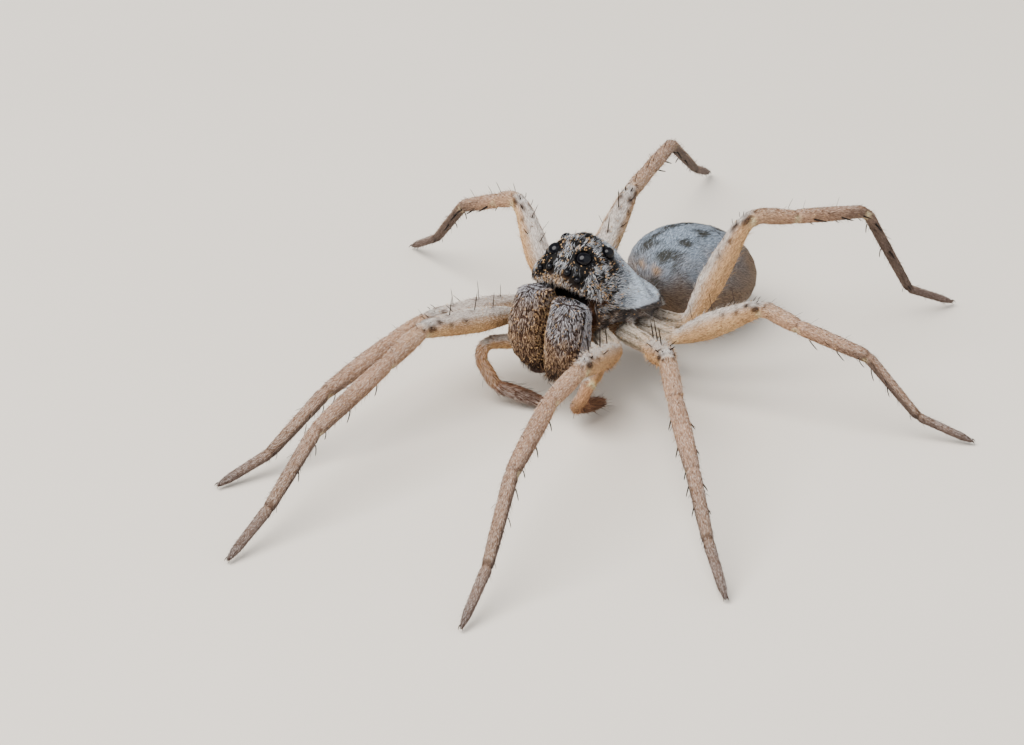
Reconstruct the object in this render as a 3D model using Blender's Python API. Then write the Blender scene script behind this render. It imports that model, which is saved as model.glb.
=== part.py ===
"""A wolf spider at life size, standing still on its eight legs.

The spider faces -Y and its left side is +X. Sizes are in millimetres and
include the depth of the coat; add_solid turns them into metres. The front half
of the body (prosoma) tips its nose up, so its pieces are built in a level frame
of their own and hang from an empty that is turned. The legs and palps are built
where they stand, on a floor at z = 0.
"""
import math

import bmesh
import bpy
from mathutils import Matrix, Vector

MM = 0.001
CUT = 0.04  # width of the thin cut between two neighbouring pieces

# Prosoma frame: origin on the midline at the level of the hips.
HIP_HEIGHT = 3.41
NOSE_UP = math.radians(8.6)

# Carapace, in the prosoma frame. Each station runs across the shell: its place
# along the body, half width, height of the rim and height of the crown.
CARAPACE_STATIONS = (
    (-4.34, 0.86, 3.04, 3.52),
    (-4.22, 1.46, 2.86, 3.80),
    (-3.92, 1.92, 2.64, 4.20),
    (-3.42, 2.10, 2.34, 4.66),
    (-2.78, 2.16, 2.02, 5.00),
    (-1.95, 2.28, 1.70, 5.00),
    (-1.10, 2.54, 1.46, 4.58),
    (-0.30, 2.74, 1.30, 3.74),
    (0.60, 2.80, 1.18, 2.84),
    (1.45, 2.60, 1.08, 2.28),
    (2.20, 2.10, 1.02, 1.88),
    (2.70, 1.42, 1.00, 1.54),
    (2.94, 0.80, 1.02, 1.26),
)
CLYPEUS_Y = -3.00  # in front of this the shell ends at its rim, over the jaws
CLYPEUS_DEPTH = 0.11
PLEURA_FLOOR = 0.68
PLEURA_INSET = 0.86
RIM_LIP = 0.16
LIP_EDGE = 0.05
CARAPACE_ARC_POINTS = 15
HEAD_SQUARENESS = 2.0
THORAX_SQUARENESS = 1.9
HEAD_REAR = 0.5  # the head's squareness fades out ahead of this
HEAD_FADE = 3.0

# Eyes, in the prosoma frame: place on the left side and diameter.
EYES = {
    "front_middle": (Vector((0.55, -4.24, 3.53)), 0.38),
    "front_outer": (Vector((1.14, -4.18, 3.30)), 0.34),
    "middle": (Vector((0.86, -3.42, 4.08)), 0.86),
    "rear": (Vector((1.28, -2.04, 4.28)), 0.64),
}
EYE_TURN = math.radians(25)
SOCKET_GAP = 0.02
EYE_SEGMENTS = 10
EYE_RINGS = 6

# Jaws (chelicerae), in the prosoma frame, from the top down: height, place of
# the axis along the body, half depth and half width.
JAW_STATIONS = (
    (2.42, -4.56, 0.50, 0.68),
    (2.20, -4.56, 0.86, 0.92),
    (1.60, -4.52, 1.24, 0.99),
    (0.60, -4.57, 1.38, 1.03),
    (-0.35, -4.50, 1.38, 1.02),
    (-1.10, -4.46, 1.12, 0.87),
    (-1.60, -4.40, 0.80, 0.66),
    (-1.84, -4.36, 0.46, 0.40),
)
JAW_SHIFT = {"L": (0.17, -0.10), "R": (0.02, 0.12)}  # each jaw's own shift outwards and up
JAW_SIDES = 14
JAW_SQUARENESS = 2.3
FANG_PATH = ((1.04, -4.12, -2.06), (0.86, -4.06, -2.10), (0.54, -4.00, -2.08), (0.20, -3.94, -2.00))
FANG_RADII = (0.19, 0.21, 0.16, 0.07)
FANG_SIDES = 8

# Underside of the prosoma.
STERNUM_HALF_WIDTH = 1.38
STERNUM_FRONT = -1.72
STERNUM_REAR = 2.28
STERNUM_LOW = -0.98
STERNUM_HIGH = 0.62
STERNUM_PROFILE = ((0.0, 0.72), (0.12, 0.94), (0.38, 1.0), (1.0, 1.0))  # height, width
STERNUM_SIDES = 18
LIP_PATH = ((0.0, -1.78, -0.72), (0.0, -2.12, -0.84), (0.0, -2.46, -0.98))
LIP_RADII = (0.34, 0.36, 0.20)
MAXILLA_PATH = ((0.92, -1.90, -1.06), (0.94, -2.34, -1.14), (0.86, -2.82, -1.28), (0.78, -3.06, -1.36))
MAXILLA_RADII = (0.36, 0.44, 0.42, 0.24)
SMALL_SIDES = 8

# Waist and hind body, where they stand.
PEDICEL_PATH = ((0.0, 2.40, 3.14), (0.0, 2.90, 3.12), (0.0, 3.34, 3.08))
PEDICEL_RADII = (0.50, 0.44, 0.48)
ABDOMEN_MIDDLE = Vector((0.0, 7.36, 3.18))
ABDOMEN_HALF = Vector((3.05, 4.18, 2.54))
ABDOMEN_DROOP = math.radians(22)
ABDOMEN_EGG = 0.04  # how much wider the rear half is than the front half
ABDOMEN_SEGMENTS = 20
ABDOMEN_RINGS = 16
SPINNERET_TOP = (0.0, 11.22, 1.34)
SPINNERET_TIP = (0.0, 11.98, 0.86)
SPINNERET_RADII = (0.50, 0.56, 0.46, 0.22)
SPINNERET_LOBES = 4
SPINNERET_LOBE_DEPTH = 0.14

# Legs, front to rear. Hips lie on the level of the prosoma frame.
HIP_ROOTS = ((1.26, -1.98), (1.52, -0.66), (1.52, 0.76), (1.24, 2.04))
HIP_ENDS = ((3.20, -3.22), (4.02, -1.30), (4.02, 0.80), (3.26, 2.72))
SEGMENT_LENGTHS = (
    (6.98, 3.24, 5.69, 4.63, 3.41),
    (6.19, 2.69, 4.52, 4.14, 3.13),
    (5.13, 2.16, 3.62, 3.97, 3.00),
    (6.42, 2.62, 4.95, 6.10, 3.29),
)
# Pose of each leg: bearing of its femur, patella, tibia, metatarsus and tarsus,
# in degrees from straight out to the side towards the rear, and climb of the
# same segments. The metatarsus climbs as the floor asks.
TO_FLOOR = None
POSE = {
    "L1": ((-67, -80, -70, -71, -75), (20, -6, -9, TO_FLOOR, -29)),
    "L2": ((-46, -44, -42, -42, -35), (22, -21, -19, TO_FLOOR, -31)),
    "L3": ((14, 13, 21, 24, 24), (31, -18, -17, TO_FLOOR, -20)),
    "L4": ((55, 65, 74, 74, 70), (62, -14, -12, TO_FLOOR, -28)),
    "R1": ((-88, -96, -92, -96, -93), (15, -9, -13, TO_FLOOR, -23)),
    "R2": ((-78, -85, -83, -81, -73), (9, -6, -15, TO_FLOOR, -16)),
    "R3": ((24, 17, 17, 19, 20), (50, -26, -26, TO_FLOOR, -31)),
    "R4": ((76, 73, 68, 69, 69), (27, 1, -7, TO_FLOOR, -28)),
}
# Radius of hip, femur, patella, tibia, metatarsus and tarsus at their start,
# middle and end.
FRONT_LEG_RADII = (
    (0.52, 0.60, 0.54),
    (0.56, 0.72, 0.56),
    (0.50, 0.54, 0.48),
    (0.49, 0.53, 0.46),
    (0.44, 0.42, 0.38),
    (0.36, 0.34, 0.27),
)
REAR_LEG_RADII = (
    (0.52, 0.60, 0.54),
    (0.54, 0.76, 0.54),
    (0.48, 0.50, 0.45),
    (0.44, 0.46, 0.41),
    (0.37, 0.35, 0.32),
    (0.30, 0.29, 0.25),
)
FIRST_REAR_PAIR = 3
LEG_SIDES = 10
RUN_RINGS = (0.36, 0.64)  # where along a run, between its bends, its two inner rings lie
LATE_TAPER = 0.25  # how far the second of them has gone from middle to end radius
BLUNT_WIDTH = 0.64  # a blunt end's radius and length, as shares of the limb's radius
BLUNT_LENGTH = 0.45
BEND_RADIUS = 1.0
SLIGHT_BEND = math.radians(16)
BEND_SHARE = 0.44  # share of the shorter neighbour that a rounded bend may take
SOLE_SINK = 0.06  # how far the tip would pass the floor, cut off flat

# Palps, where they stand: root, end of trochanter, knee, end of patella, end of
# tibia and tip.
PALP_PATHS = {
    "L": ((1.32, -3.14, 2.52), (2.30, -3.30, 2.74), (3.30, -5.44, 3.10), (3.14, -5.86, 2.24),
          (2.10, -4.96, 1.10), (2.20, -2.86, 0.62)),
    "R": ((-1.32, -3.14, 2.52), (-2.30, -3.30, 2.74), (-3.36, -5.34, 3.14), (-3.36, -5.62, 2.28),
          (-2.54, -5.44, 1.02), (-0.10, -4.50, 0.46)),
}
PALP_RADII = (
    (0.40, 0.42, 0.38),
    (0.38, 0.44, 0.40),
    (0.39, 0.41, 0.38),
    (0.38, 0.40, 0.38),
    (0.38, 0.40, 0.28),
)
PALP_BEND_RADIUS = 0.62

# Colour, roughness and metallic value of each finish.
FINISHES = {
    "carapace": ((0.30, 0.30, 0.31), 0.85, 0.0),
    "eye": ((0.012, 0.012, 0.014), 0.05, 0.0),
    "jaw": ((0.27, 0.22, 0.19), 0.80, 0.0),
    "fang": ((0.03, 0.015, 0.01), 0.25, 0.0),
    "underside": ((0.33, 0.27, 0.21), 0.85, 0.0),
    "abdomen": ((0.27, 0.28, 0.30), 0.90, 0.0),
    "hip": ((0.62, 0.58, 0.50), 0.85, 0.0),
    "femur": ((0.60, 0.51, 0.40), 0.85, 0.0),
    "tibia": ((0.50, 0.40, 0.32), 0.85, 0.0),
    "foot": ((0.36, 0.28, 0.23), 0.85, 0.0),
    "palp": ((0.48, 0.37, 0.27), 0.85, 0.0),
}


def clear_scene():
    for item in list(bpy.context.scene.objects):
        bpy.data.objects.remove(item, do_unlink=True)


def make_collection(name):
    collection = bpy.data.collections.new(name)
    bpy.context.scene.collection.children.link(collection)
    return collection


def make_finish(name):
    """A Principled material for one of the finishes."""
    colour, roughness, metallic = FINISHES[name]
    material = bpy.data.materials.new(name)
    material.use_nodes = True
    shader = material.node_tree.nodes["Principled BSDF"]
    shader.inputs["Base Color"].default_value = (*colour, 1.0)
    shader.inputs["Roughness"].default_value = roughness
    shader.inputs["Metallic"].default_value = metallic
    return material


def make_empty(name, parent=None):
    empty = bpy.data.objects.new(name, None)
    bpy.context.scene.collection.objects.link(empty)
    empty.parent = parent
    return empty


def add_solid(name, shape, material, collection, parent):
    """Turn a bmesh in millimetres into an object in metres."""
    bmesh.ops.scale(shape, vec=(MM, MM, MM), verts=shape.verts)
    bmesh.ops.recalc_face_normals(shape, faces=shape.faces)
    mesh = bpy.data.meshes.new(name)
    shape.to_mesh(mesh)
    shape.free()
    mesh.shade_smooth()
    mesh.set_sharp_from_angle(angle=math.radians(50))
    solid = bpy.data.objects.new(name, mesh)
    solid.parent = parent
    collection.objects.link(solid)
    if material:
        mesh.materials.append(material)
    return solid


def loft(rings):
    """A closed skin over rings of equally many points, with flat ends."""
    shape = bmesh.new()
    loops = [[shape.verts.new(point) for point in ring] for ring in rings]
    count = len(loops[0])
    for near, far in zip(loops, loops[1:]):
        for i in range(count):
            j = (i + 1) % count
            shape.faces.new((near[i], near[j], far[j], far[i]))
    shape.faces.new(reversed(loops[0]))
    shape.faces.new(loops[-1])
    return shape


def rounded_power(value, power):
    """Sign-keeping power, which turns a circle into a superellipse."""
    return math.copysign(abs(value) ** power, value)


def level_side(direction):
    """The level direction square to a direction."""
    return Vector((0, 0, 1)).cross(direction).normalized()


def round_ring(middle, direction, side, radius, sides):
    """Points of a circle square to a direction, counted from its side."""
    up = direction.cross(side).normalized()
    turns = [2 * math.pi * (i + 0.5) / sides for i in range(sides)]
    return [middle + radius * (math.cos(a) * side + math.sin(a) * up) for a in turns]


def tube(points, radii, sides):
    """A tapering tube through a few points, its end rings square to the path."""
    points = [Vector(point) for point in points]
    rings = []
    for i, middle in enumerate(points):
        before = points[max(i - 1, 0)]
        after = points[min(i + 1, len(points) - 1)]
        direction = (after - before).normalized()
        rings.append(round_ring(middle, direction, level_side(direction), radii[i], sides))
    return loft(rings)


# ---------------------------------------------------------------- front body

def carapace_section(y, half_width, rim, crown):
    """One loop across the shell: the arched back, then the inset wall below."""
    head_share = min(1.0, max(0.0, (HEAD_REAR - y) / HEAD_FADE))
    squareness = THORAX_SQUARENESS + (HEAD_SQUARENESS - THORAX_SQUARENESS) * head_share
    loop = []
    for i in range(CARAPACE_ARC_POINTS):
        angle = math.pi * i / (CARAPACE_ARC_POINTS - 1)
        x = half_width * rounded_power(math.cos(angle), 2 / squareness)
        z = rim + (crown - rim) * rounded_power(math.sin(angle), 2 / squareness)
        loop.append(Vector((x, y, z)))
    floor = rim - CLYPEUS_DEPTH if y < CLYPEUS_Y else PLEURA_FLOOR
    lip = max(rim - RIM_LIP, floor + LIP_EDGE)
    inset = half_width * PLEURA_INSET
    corners = ((-inset, lip), (-inset, floor), (inset, floor), (inset, lip))
    loop += [Vector((x, y, z)) for x, z in corners]
    return loop


def between(first, second, share):
    return tuple(a + (b - a) * share for a, b in zip(first, second))


def make_carapace(finish, solids, cutters, prosoma):
    stations = list(CARAPACE_STATIONS)
    clypeus = next(i for i, station in enumerate(stations) if station[0] > CLYPEUS_Y)
    before, after = stations[clypeus - 1], stations[clypeus]
    wall = between(before, after, (CLYPEUS_Y - before[0]) / (after[0] - before[0]))
    stations.insert(clypeus, wall)
    shape = loft([carapace_section(*station) for station in stations])
    carapace = add_solid("carapace", shape, finish, solids, prosoma)
    for label, (place, diameter) in EYES.items():
        for side, sign in (("L", 1), ("R", -1)):
            cutter = add_ball(f"socket_{label}_{side}", place, sign, diameter + 2 * SOCKET_GAP,
                              None, cutters, prosoma)
            cutter.hide_render = True
            cutter.display_type = "WIRE"
            cut = carapace.modifiers.new(cutter.name, "BOOLEAN")
            cut.operation = "DIFFERENCE"
            cut.solver = "EXACT"
            cut.object = cutter


def add_ball(name, place, sign, diameter, finish, collection, prosoma):
    """A ball whose pole looks out of the head."""
    shape = bmesh.new()
    bmesh.ops.create_uvsphere(shape, u_segments=EYE_SEGMENTS, v_segments=EYE_RINGS,
                              radius=diameter / 2)
    ball = add_solid(name, shape, finish, collection, prosoma)
    ball.location = Vector((sign * place.x, place.y, place.z)) * MM
    ball.rotation_euler = (math.radians(90), 0, sign * EYE_TURN)
    return ball


def make_eyes(finish, solids, prosoma):
    for label, (place, diameter) in EYES.items():
        for side, sign in (("L", 1), ("R", -1)):
            add_ball(f"eye_{label}_{side}", place, sign, diameter, finish, solids, prosoma)


def make_jaws(jaw_finish, fang_finish, solids, prosoma):
    for side, sign in (("L", 1), ("R", -1)):
        outwards, rise = JAW_SHIFT[side]
        rings = []
        for z, y, half_depth, half_width in JAW_STATIONS:
            x = sign * (half_width + outwards + CUT / 2)
            ring = []
            for i in range(JAW_SIDES):
                angle = 2 * math.pi * i / JAW_SIDES
                across = half_width * rounded_power(math.cos(angle), 2 / JAW_SQUARENESS)
                along = half_depth * rounded_power(math.sin(angle), 2 / JAW_SQUARENESS)
                ring.append(Vector((x + across, y + along, z + rise)))
            rings.append(ring)
        add_solid(f"chelicera_{side}", loft(rings), jaw_finish, solids, prosoma)
        path = [(sign * (x + outwards), y, z + rise) for x, y, z in FANG_PATH]
        fang = tube(path, FANG_RADII, FANG_SIDES)
        add_solid(f"fang_{side}", fang, fang_finish, solids, prosoma)


def make_underside(finish, solids, prosoma):
    """Breastplate, lower lip and the two maxillae beside it."""
    middle = (STERNUM_FRONT + STERNUM_REAR) / 2
    half_length = (STERNUM_REAR - STERNUM_FRONT) / 2
    rings = []
    for height, share in STERNUM_PROFILE:
        z = STERNUM_LOW + height * (STERNUM_HIGH - STERNUM_LOW)
        ring = []
        for i in range(STERNUM_SIDES):
            angle = 2 * math.pi * i / STERNUM_SIDES
            x = share * STERNUM_HALF_WIDTH * math.cos(angle)
            y = middle + share * half_length * math.sin(angle)
            ring.append(Vector((x, y, z)))
        rings.append(ring)
    add_solid("sternum", loft(rings), finish, solids, prosoma)
    add_solid("labium", tube(LIP_PATH, LIP_RADII, SMALL_SIDES), finish, solids, prosoma)
    for side, sign in (("L", 1), ("R", -1)):
        path = [(sign * x, y, z) for x, y, z in MAXILLA_PATH]
        shape = tube(path, MAXILLA_RADII, SMALL_SIDES)
        add_solid(f"maxilla_{side}", shape, finish, solids, prosoma)


# ----------------------------------------------------------------- hind body

def make_abdomen(finish, solids, spider):
    shape = bmesh.new()
    bmesh.ops.create_uvsphere(shape, u_segments=ABDOMEN_SEGMENTS, v_segments=ABDOMEN_RINGS,
                              radius=1, matrix=Matrix.Rotation(math.radians(90), 4, "X"))
    for vert in shape.verts:
        swell = 1 + ABDOMEN_EGG * vert.co.y
        vert.co.x *= ABDOMEN_HALF.x * swell
        vert.co.z *= ABDOMEN_HALF.z * swell
        vert.co.y *= ABDOMEN_HALF.y
    abdomen = add_solid("abdomen", shape, finish, solids, spider)
    abdomen.location = ABDOMEN_MIDDLE * MM
    abdomen.rotation_euler = (-ABDOMEN_DROOP, 0, 0)


def make_spinnerets(finish, solids, spider):
    """The silk glands' short blunt nipples, as one lobed cone."""
    top, tip = Vector(SPINNERET_TOP), Vector(SPINNERET_TIP)
    sides = SPINNERET_LOBES * 4
    direction = (tip - top).normalized()
    rings = []
    for i, radius in enumerate(SPINNERET_RADII):
        share = i / (len(SPINNERET_RADII) - 1)
        middle = top.lerp(tip, share)
        ring = round_ring(middle, direction, level_side(direction), radius, sides)
        for j, point in enumerate(ring):
            angle = 2 * math.pi * (j + 0.5) / sides
            lobe = 1 + math.cos(SPINNERET_LOBES * angle)
            dent = SPINNERET_LOBE_DEPTH * share * lobe
            ring[j] = point.lerp(middle, dent)
        rings.append(ring)
    add_solid("spinnerets", loft(rings), finish, solids, spider)


# -------------------------------------------------------------- legs and palps

def to_world(x, y, z):
    """A point of the prosoma frame, where it stands."""
    turn = Matrix.Rotation(-NOSE_UP, 3, "X")
    return turn @ Vector((x, y, z)) + Vector((0, 0, HIP_HEIGHT))


def heading(bearing, climb, sign):
    flat = math.cos(climb)
    return Vector((sign * flat * math.cos(bearing), flat * math.sin(bearing), math.sin(climb)))


def leg_corners(label, pair, sign):
    """Places of the hip's root, its end and the five joints of one leg."""
    root, end = HIP_ROOTS[pair], HIP_ENDS[pair]
    corners = [to_world(sign * root[0], root[1], 0), to_world(sign * end[0], end[1], 0)]
    bearings, climbs = POSE[label]
    lengths = SEGMENT_LENGTHS[pair]
    tip_height = leg_radii(pair)[-1][-1] - SOLE_SINK
    for length, bearing, climb in zip(lengths, bearings, climbs):
        if climb is TO_FLOOR:
            tarsus_drop = -lengths[-1] * math.sin(math.radians(climbs[-1]))
            drop = corners[-1].z - tip_height - tarsus_drop
            slope = -math.asin(drop / length)
        else:
            slope = math.radians(climb)
        corners.append(corners[-1] + length * heading(math.radians(bearing), slope, sign))
    return corners


def leg_radii(pair):
    return REAR_LEG_RADII if pair + 1 >= FIRST_REAR_PAIR else FRONT_LEG_RADII


def bend(before, corner, after, widest, radius_at):
    """Start, middle and end of the arc that rounds a corner, with radii.

    A slight bend gives only its middle.
    """
    arriving, leaving = (corner - before), (after - corner)
    room = BEND_SHARE * min(arriving.length, leaving.length)
    arriving.normalize()
    leaving.normalize()
    turn = arriving.angle(leaving)
    if turn < SLIGHT_BEND:
        return [(corner, (arriving + leaving).normalized(), radius_at[1])]
    reach = min(widest * math.tan(turn / 2), room)
    arc = reach / math.tan(turn / 2)
    inward = (leaving - arriving * math.cos(turn)).normalized()
    start = corner - arriving * reach
    stations = []
    for share, radius in zip((0, 0.5, 1), radius_at):
        angle = turn * share
        place = start + arc * (math.sin(angle) * arriving + (1 - math.cos(angle)) * inward)
        direction = math.cos(angle) * arriving + math.sin(angle) * inward
        stations.append((place, direction, radius))
    return stations


def run_stations(first, last, radii):
    """The inner rings of a straight run, between the bends at its two ends."""
    _, middle, end = radii
    if (last - first).length < middle:
        return []
    direction = (last - first).normalized()
    late = middle + (end - middle) * LATE_TAPER
    return [(first.lerp(last, RUN_RINGS[0]), direction, middle),
            (first.lerp(last, RUN_RINGS[1]), direction, late)]


def limb_stations(corners, radii, bend_radius):
    """Rings along a limb: its runs, with a bend after each but the last."""
    bends = []
    for i in range(len(corners) - 2):
        end, next_start = radii[i][-1], radii[i + 1][0]
        radius_at = (end, (end + next_start) / 2, next_start)
        bends.append(bend(*corners[i:i + 3], bend_radius, radius_at))
    stations = []
    for i in range(len(corners) - 1):
        first = bends[i - 1][-1][0] if i else corners[0]
        last = bends[i][0][0] if i < len(bends) else corners[-1]
        stations.append(run_stations(first, last, radii[i]))
        if i < len(bends):
            stations.append(bends[i])
    return stations


def blunt_start(near, far, radius):
    direction = (far - near).normalized()
    shoulder = near + direction * radius * BLUNT_LENGTH
    return [(near, direction, radius * BLUNT_WIDTH), (shoulder, direction, radius)]


def blunt_end(near, far, radius):
    direction = (far - near).normalized()
    shoulder = far - direction * radius * BLUNT_LENGTH
    return [(shoulder, direction, radius), (far, direction, radius * BLUNT_WIDTH)]


def pull_in(station, amount):
    place, direction, radius = station
    return (place + direction * amount, direction, radius)


def limb_piece(stations):
    """A loft through the stations, flat where it meets the floor.

    The side is carried from ring to ring, so that a limb which passes the
    vertical doesn't twist.
    """
    side = level_side(stations[0][1])
    rings = []
    for place, direction, radius in stations:
        side = (side - direction * side.dot(direction)).normalized()
        rings.append(round_ring(place, direction, side, radius, LEG_SIDES))
    for ring in rings:
        for point in ring:
            point.z = max(point.z, 0.0)
    return loft(rings)


def split_limb(runs, first, last, cuts):
    """Divide a limb's stations at the middles of the bends in cuts."""
    pieces = []
    current = list(first)
    for i, stations in enumerate(runs):
        if i in cuts:
            half = len(stations) // 2
            current += stations[:half] + [pull_in(stations[half], -CUT / 2)]
            pieces.append(current)
            current = [pull_in(stations[half], CUT / 2)] + stations[half + 1:]
        else:
            current += stations
    pieces.append(current + list(last))
    return pieces


def make_limb(corners, radii, bend_radius, names, cut_joints, finishes, solids, spider):
    runs = limb_stations(corners, radii, bend_radius)
    first = blunt_start(corners[0], corners[1], radii[0][0])
    last = blunt_end(corners[-2], corners[-1], radii[-1][-1])
    cuts = [2 * joint - 1 for joint in cut_joints]
    pieces = split_limb(runs, first, last, cuts)
    for name, stations, finish in zip(names, pieces, finishes):
        add_solid(name, limb_piece(stations), finish, solids, spider)


def make_legs(finishes, solids, spider):
    """Four nodes a leg: hip, femur, patella with tibia, metatarsus with tarsus."""
    for label in POSE:
        sign = 1 if label[0] == "L" else -1
        pair = int(label[1]) - 1
        corners = leg_corners(label, pair, sign)
        names = [f"leg_{label}_{part}" for part in ("coxa", "femur", "tibia", "foot")]
        make_limb(corners, leg_radii(pair), BEND_RADIUS, names, (1, 2, 4), finishes, solids, spider)


def make_palps(finish, solids, spider):
    """Three nodes a palp: femur, patella with tibia, tarsus."""
    for side, path in PALP_PATHS.items():
        corners = [Vector(point) for point in path]
        names = [f"palp_{side}_{part}" for part in ("femur", "tibia", "tarsus")]
        make_limb(corners, PALP_RADII, PALP_BEND_RADIUS, names, (2, 4), [finish] * 3, solids, spider)


# ------------------------------------------------------------------ assembly

def stand_on_origin(spider, solids):
    """Move the whole spider so that its box stands on the origin."""
    bpy.context.view_layer.update()
    points = [solid.matrix_world @ vert.co
              for solid in solids.objects for vert in solid.data.vertices]
    low = [min(point[axis] for point in points) for axis in range(3)]
    high = [max(point[axis] for point in points) for axis in range(3)]
    spider.location = (-(low[0] + high[0]) / 2, -(low[1] + high[1]) / 2, -low[2])
    bpy.context.view_layer.update()


def main():
    clear_scene()
    solids = make_collection("wolf_spider")
    cutters = make_collection("cutters")
    finish = {name: make_finish(name) for name in FINISHES}
    spider = make_empty("spider_frame")
    prosoma = make_empty("prosoma_frame", spider)
    prosoma.location = (0, 0, HIP_HEIGHT * MM)
    prosoma.rotation_euler = (-NOSE_UP, 0, 0)
    make_carapace(finish["carapace"], solids, cutters, prosoma)
    make_eyes(finish["eye"], solids, prosoma)
    make_jaws(finish["jaw"], finish["fang"], solids, prosoma)
    make_underside(finish["underside"], solids, prosoma)
    pedicel = tube(PEDICEL_PATH, PEDICEL_RADII, SMALL_SIDES)
    add_solid("pedicel", pedicel, finish["underside"], solids, spider)
    make_abdomen(finish["abdomen"], solids, spider)
    make_spinnerets(finish["underside"], solids, spider)
    leg_finishes = [finish[name] for name in ("hip", "femur", "tibia", "foot")]
    make_legs(leg_finishes, solids, spider)
    make_palps(finish["palp"], solids, spider)
    stand_on_origin(spider, solids)


main()
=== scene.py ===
"""Looks of the wolf spider: one skin, its coat of fine hairs, spines, claws and eyes.

Shapes are worked out in millimetres and written in metres. The spider faces -Y
and its left side is +X. The skin is made from the frame's own solids, and every
hair takes its place, lie and colour from the skin under it.
"""
import math

import bmesh
import bpy
import numpy as np
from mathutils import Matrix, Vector
from mathutils.bvhtree import BVHTree


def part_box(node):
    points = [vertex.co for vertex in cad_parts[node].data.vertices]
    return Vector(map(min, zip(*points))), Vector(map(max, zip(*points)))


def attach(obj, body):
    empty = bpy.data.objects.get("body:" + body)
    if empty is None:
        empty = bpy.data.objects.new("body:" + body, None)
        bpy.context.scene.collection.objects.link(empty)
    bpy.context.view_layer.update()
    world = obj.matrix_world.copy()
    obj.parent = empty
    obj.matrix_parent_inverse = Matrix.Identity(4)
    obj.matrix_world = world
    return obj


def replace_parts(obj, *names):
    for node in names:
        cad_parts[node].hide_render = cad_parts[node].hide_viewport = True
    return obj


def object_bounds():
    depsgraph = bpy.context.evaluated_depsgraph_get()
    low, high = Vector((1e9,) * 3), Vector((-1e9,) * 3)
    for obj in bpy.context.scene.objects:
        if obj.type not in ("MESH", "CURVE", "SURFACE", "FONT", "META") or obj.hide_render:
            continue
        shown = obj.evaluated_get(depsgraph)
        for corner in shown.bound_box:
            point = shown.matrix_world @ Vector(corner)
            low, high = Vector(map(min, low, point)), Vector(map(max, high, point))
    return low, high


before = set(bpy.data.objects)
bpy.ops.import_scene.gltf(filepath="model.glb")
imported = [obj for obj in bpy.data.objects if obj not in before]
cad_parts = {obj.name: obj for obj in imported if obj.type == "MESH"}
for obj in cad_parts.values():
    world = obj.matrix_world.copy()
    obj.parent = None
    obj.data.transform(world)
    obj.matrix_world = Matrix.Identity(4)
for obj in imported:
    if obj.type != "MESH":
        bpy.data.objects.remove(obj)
cad_low, cad_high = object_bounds()

MM = 0.001
SEED = 20
LEGS = ("L1", "L2", "L3", "L4", "R1", "R2", "R3", "R4")
EYES = [f"eye_{place}_{side}" for place in ("front_middle", "front_outer", "middle", "rear") for side in "LR"]

# The skin: its grid, how far it is spread out near the face, how far the solids
# swell to close their cuts, and how it is smoothed.
SKIN_GRID, FANG_GRID = 0.13, 0.05
LENS_REACH, LENS_LIMIT = 3.8, 60.0
SWELL, LIMB_SWELL = 0.03, 0.012
SMOOTH_ROUNDS, FANG_ROUNDS, DEPTH_ROUNDS = 6, 12, 8
SHRINK, REGROW = 0.5, 0.52
SKIN_FLOOR = 0.004
HEAD_DEPTH = (0, 0.4, 0.9)  # from the middle of the head up to its crown
RIM_SHARE, RIM_REACH = 0.12, 0.30  # rise of the skin round an eye, by its radius, and how far it fades
SOCKET_WALL = 0.03  # how far the skin reaches in behind an eye's surface

# The limbs: corners and flatness of a solid's end, and where the joints lie that
# have no cut of their own, as shares of the segment that they part.
LIMB_SIDES, FLATNESS = 10, 0.004
PALP_HIP, PALP_PATELLA = 0.26, 0.34
PALP_STEP = 0.02  # a palp has no metatarsus, so its segment count steps over it in this length
PATELLA = 0.36
METATARSUS = {"1": 0.575, "2": 0.57, "3": 0.57, "4": 0.65}
JOINTS = np.arange(7.0)
WAISTS = (
    # joint, depth of its waist and width in segments
    (1, 0.07, 0.10), (2, 0.05, 0.05), (3, 0.06, 0.035), (4, 0.05, 0.03), (5, 0.05, 0.02),
)

OUTER_MARGIN = 0.20  # how far a hair may pass the box of the solids
FLOOR_GAP = 0.002

# Each kind of coat: its piece, its material slot and its depth. Each leg has its own piece.
COATS = {
    "carapace": ("coat_carapace", "carapace", 0.08), "jaw": ("coat_jaws", "jaw", 0.07),
    "abdomen": ("coat_abdomen", "abdomen", 0.10), "under": ("coat_underside", "underside", 0.07),
    "leg": ("coat_leg", "tibia", 0.06), "palp": ("coat_palps", "palp", 0.05),
}
NODE_KINDS = {"eye": None, "fang": None, "chelicera": "jaw", "carapace": "carapace", "abdomen": "abdomen",
              "leg": "leg", "palp": "palp"}


# ---- small helpers ----

def srgb(red, green, blue):
    """A linear colour from its usual 0 to 255 values."""
    value = np.array((red, green, blue)) / 255
    return np.where(value <= 0.04045, value / 12.92, ((value + 0.055) / 1.055) ** 2.4)


def norm(vectors):
    """The length of each vector."""
    return np.linalg.norm(vectors, axis=-1)


def unit(vectors):
    return vectors / np.maximum(norm(vectors)[..., None], 1e-9)


def dot(first, second):
    return (first * second).sum(axis=-1)


def flat_on(vectors, normals):
    """The part of each vector that lies along the surface, at unit length."""
    return unit(vectors - normals * dot(vectors, normals)[:, None])


def ease(low, high, values):
    """0 below low, 1 above high, smooth between."""
    share = np.clip((values - low) / (high - low), 0, 1)
    return share * share * (3 - 2 * share)


def bell(values, middle, width):
    return np.exp(-((values - middle) / width) ** 2)


def blend(first, second, share):
    """Colours between first and second, one share for each place."""
    return first + (second - first) * np.asarray(share)[..., None]


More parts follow.
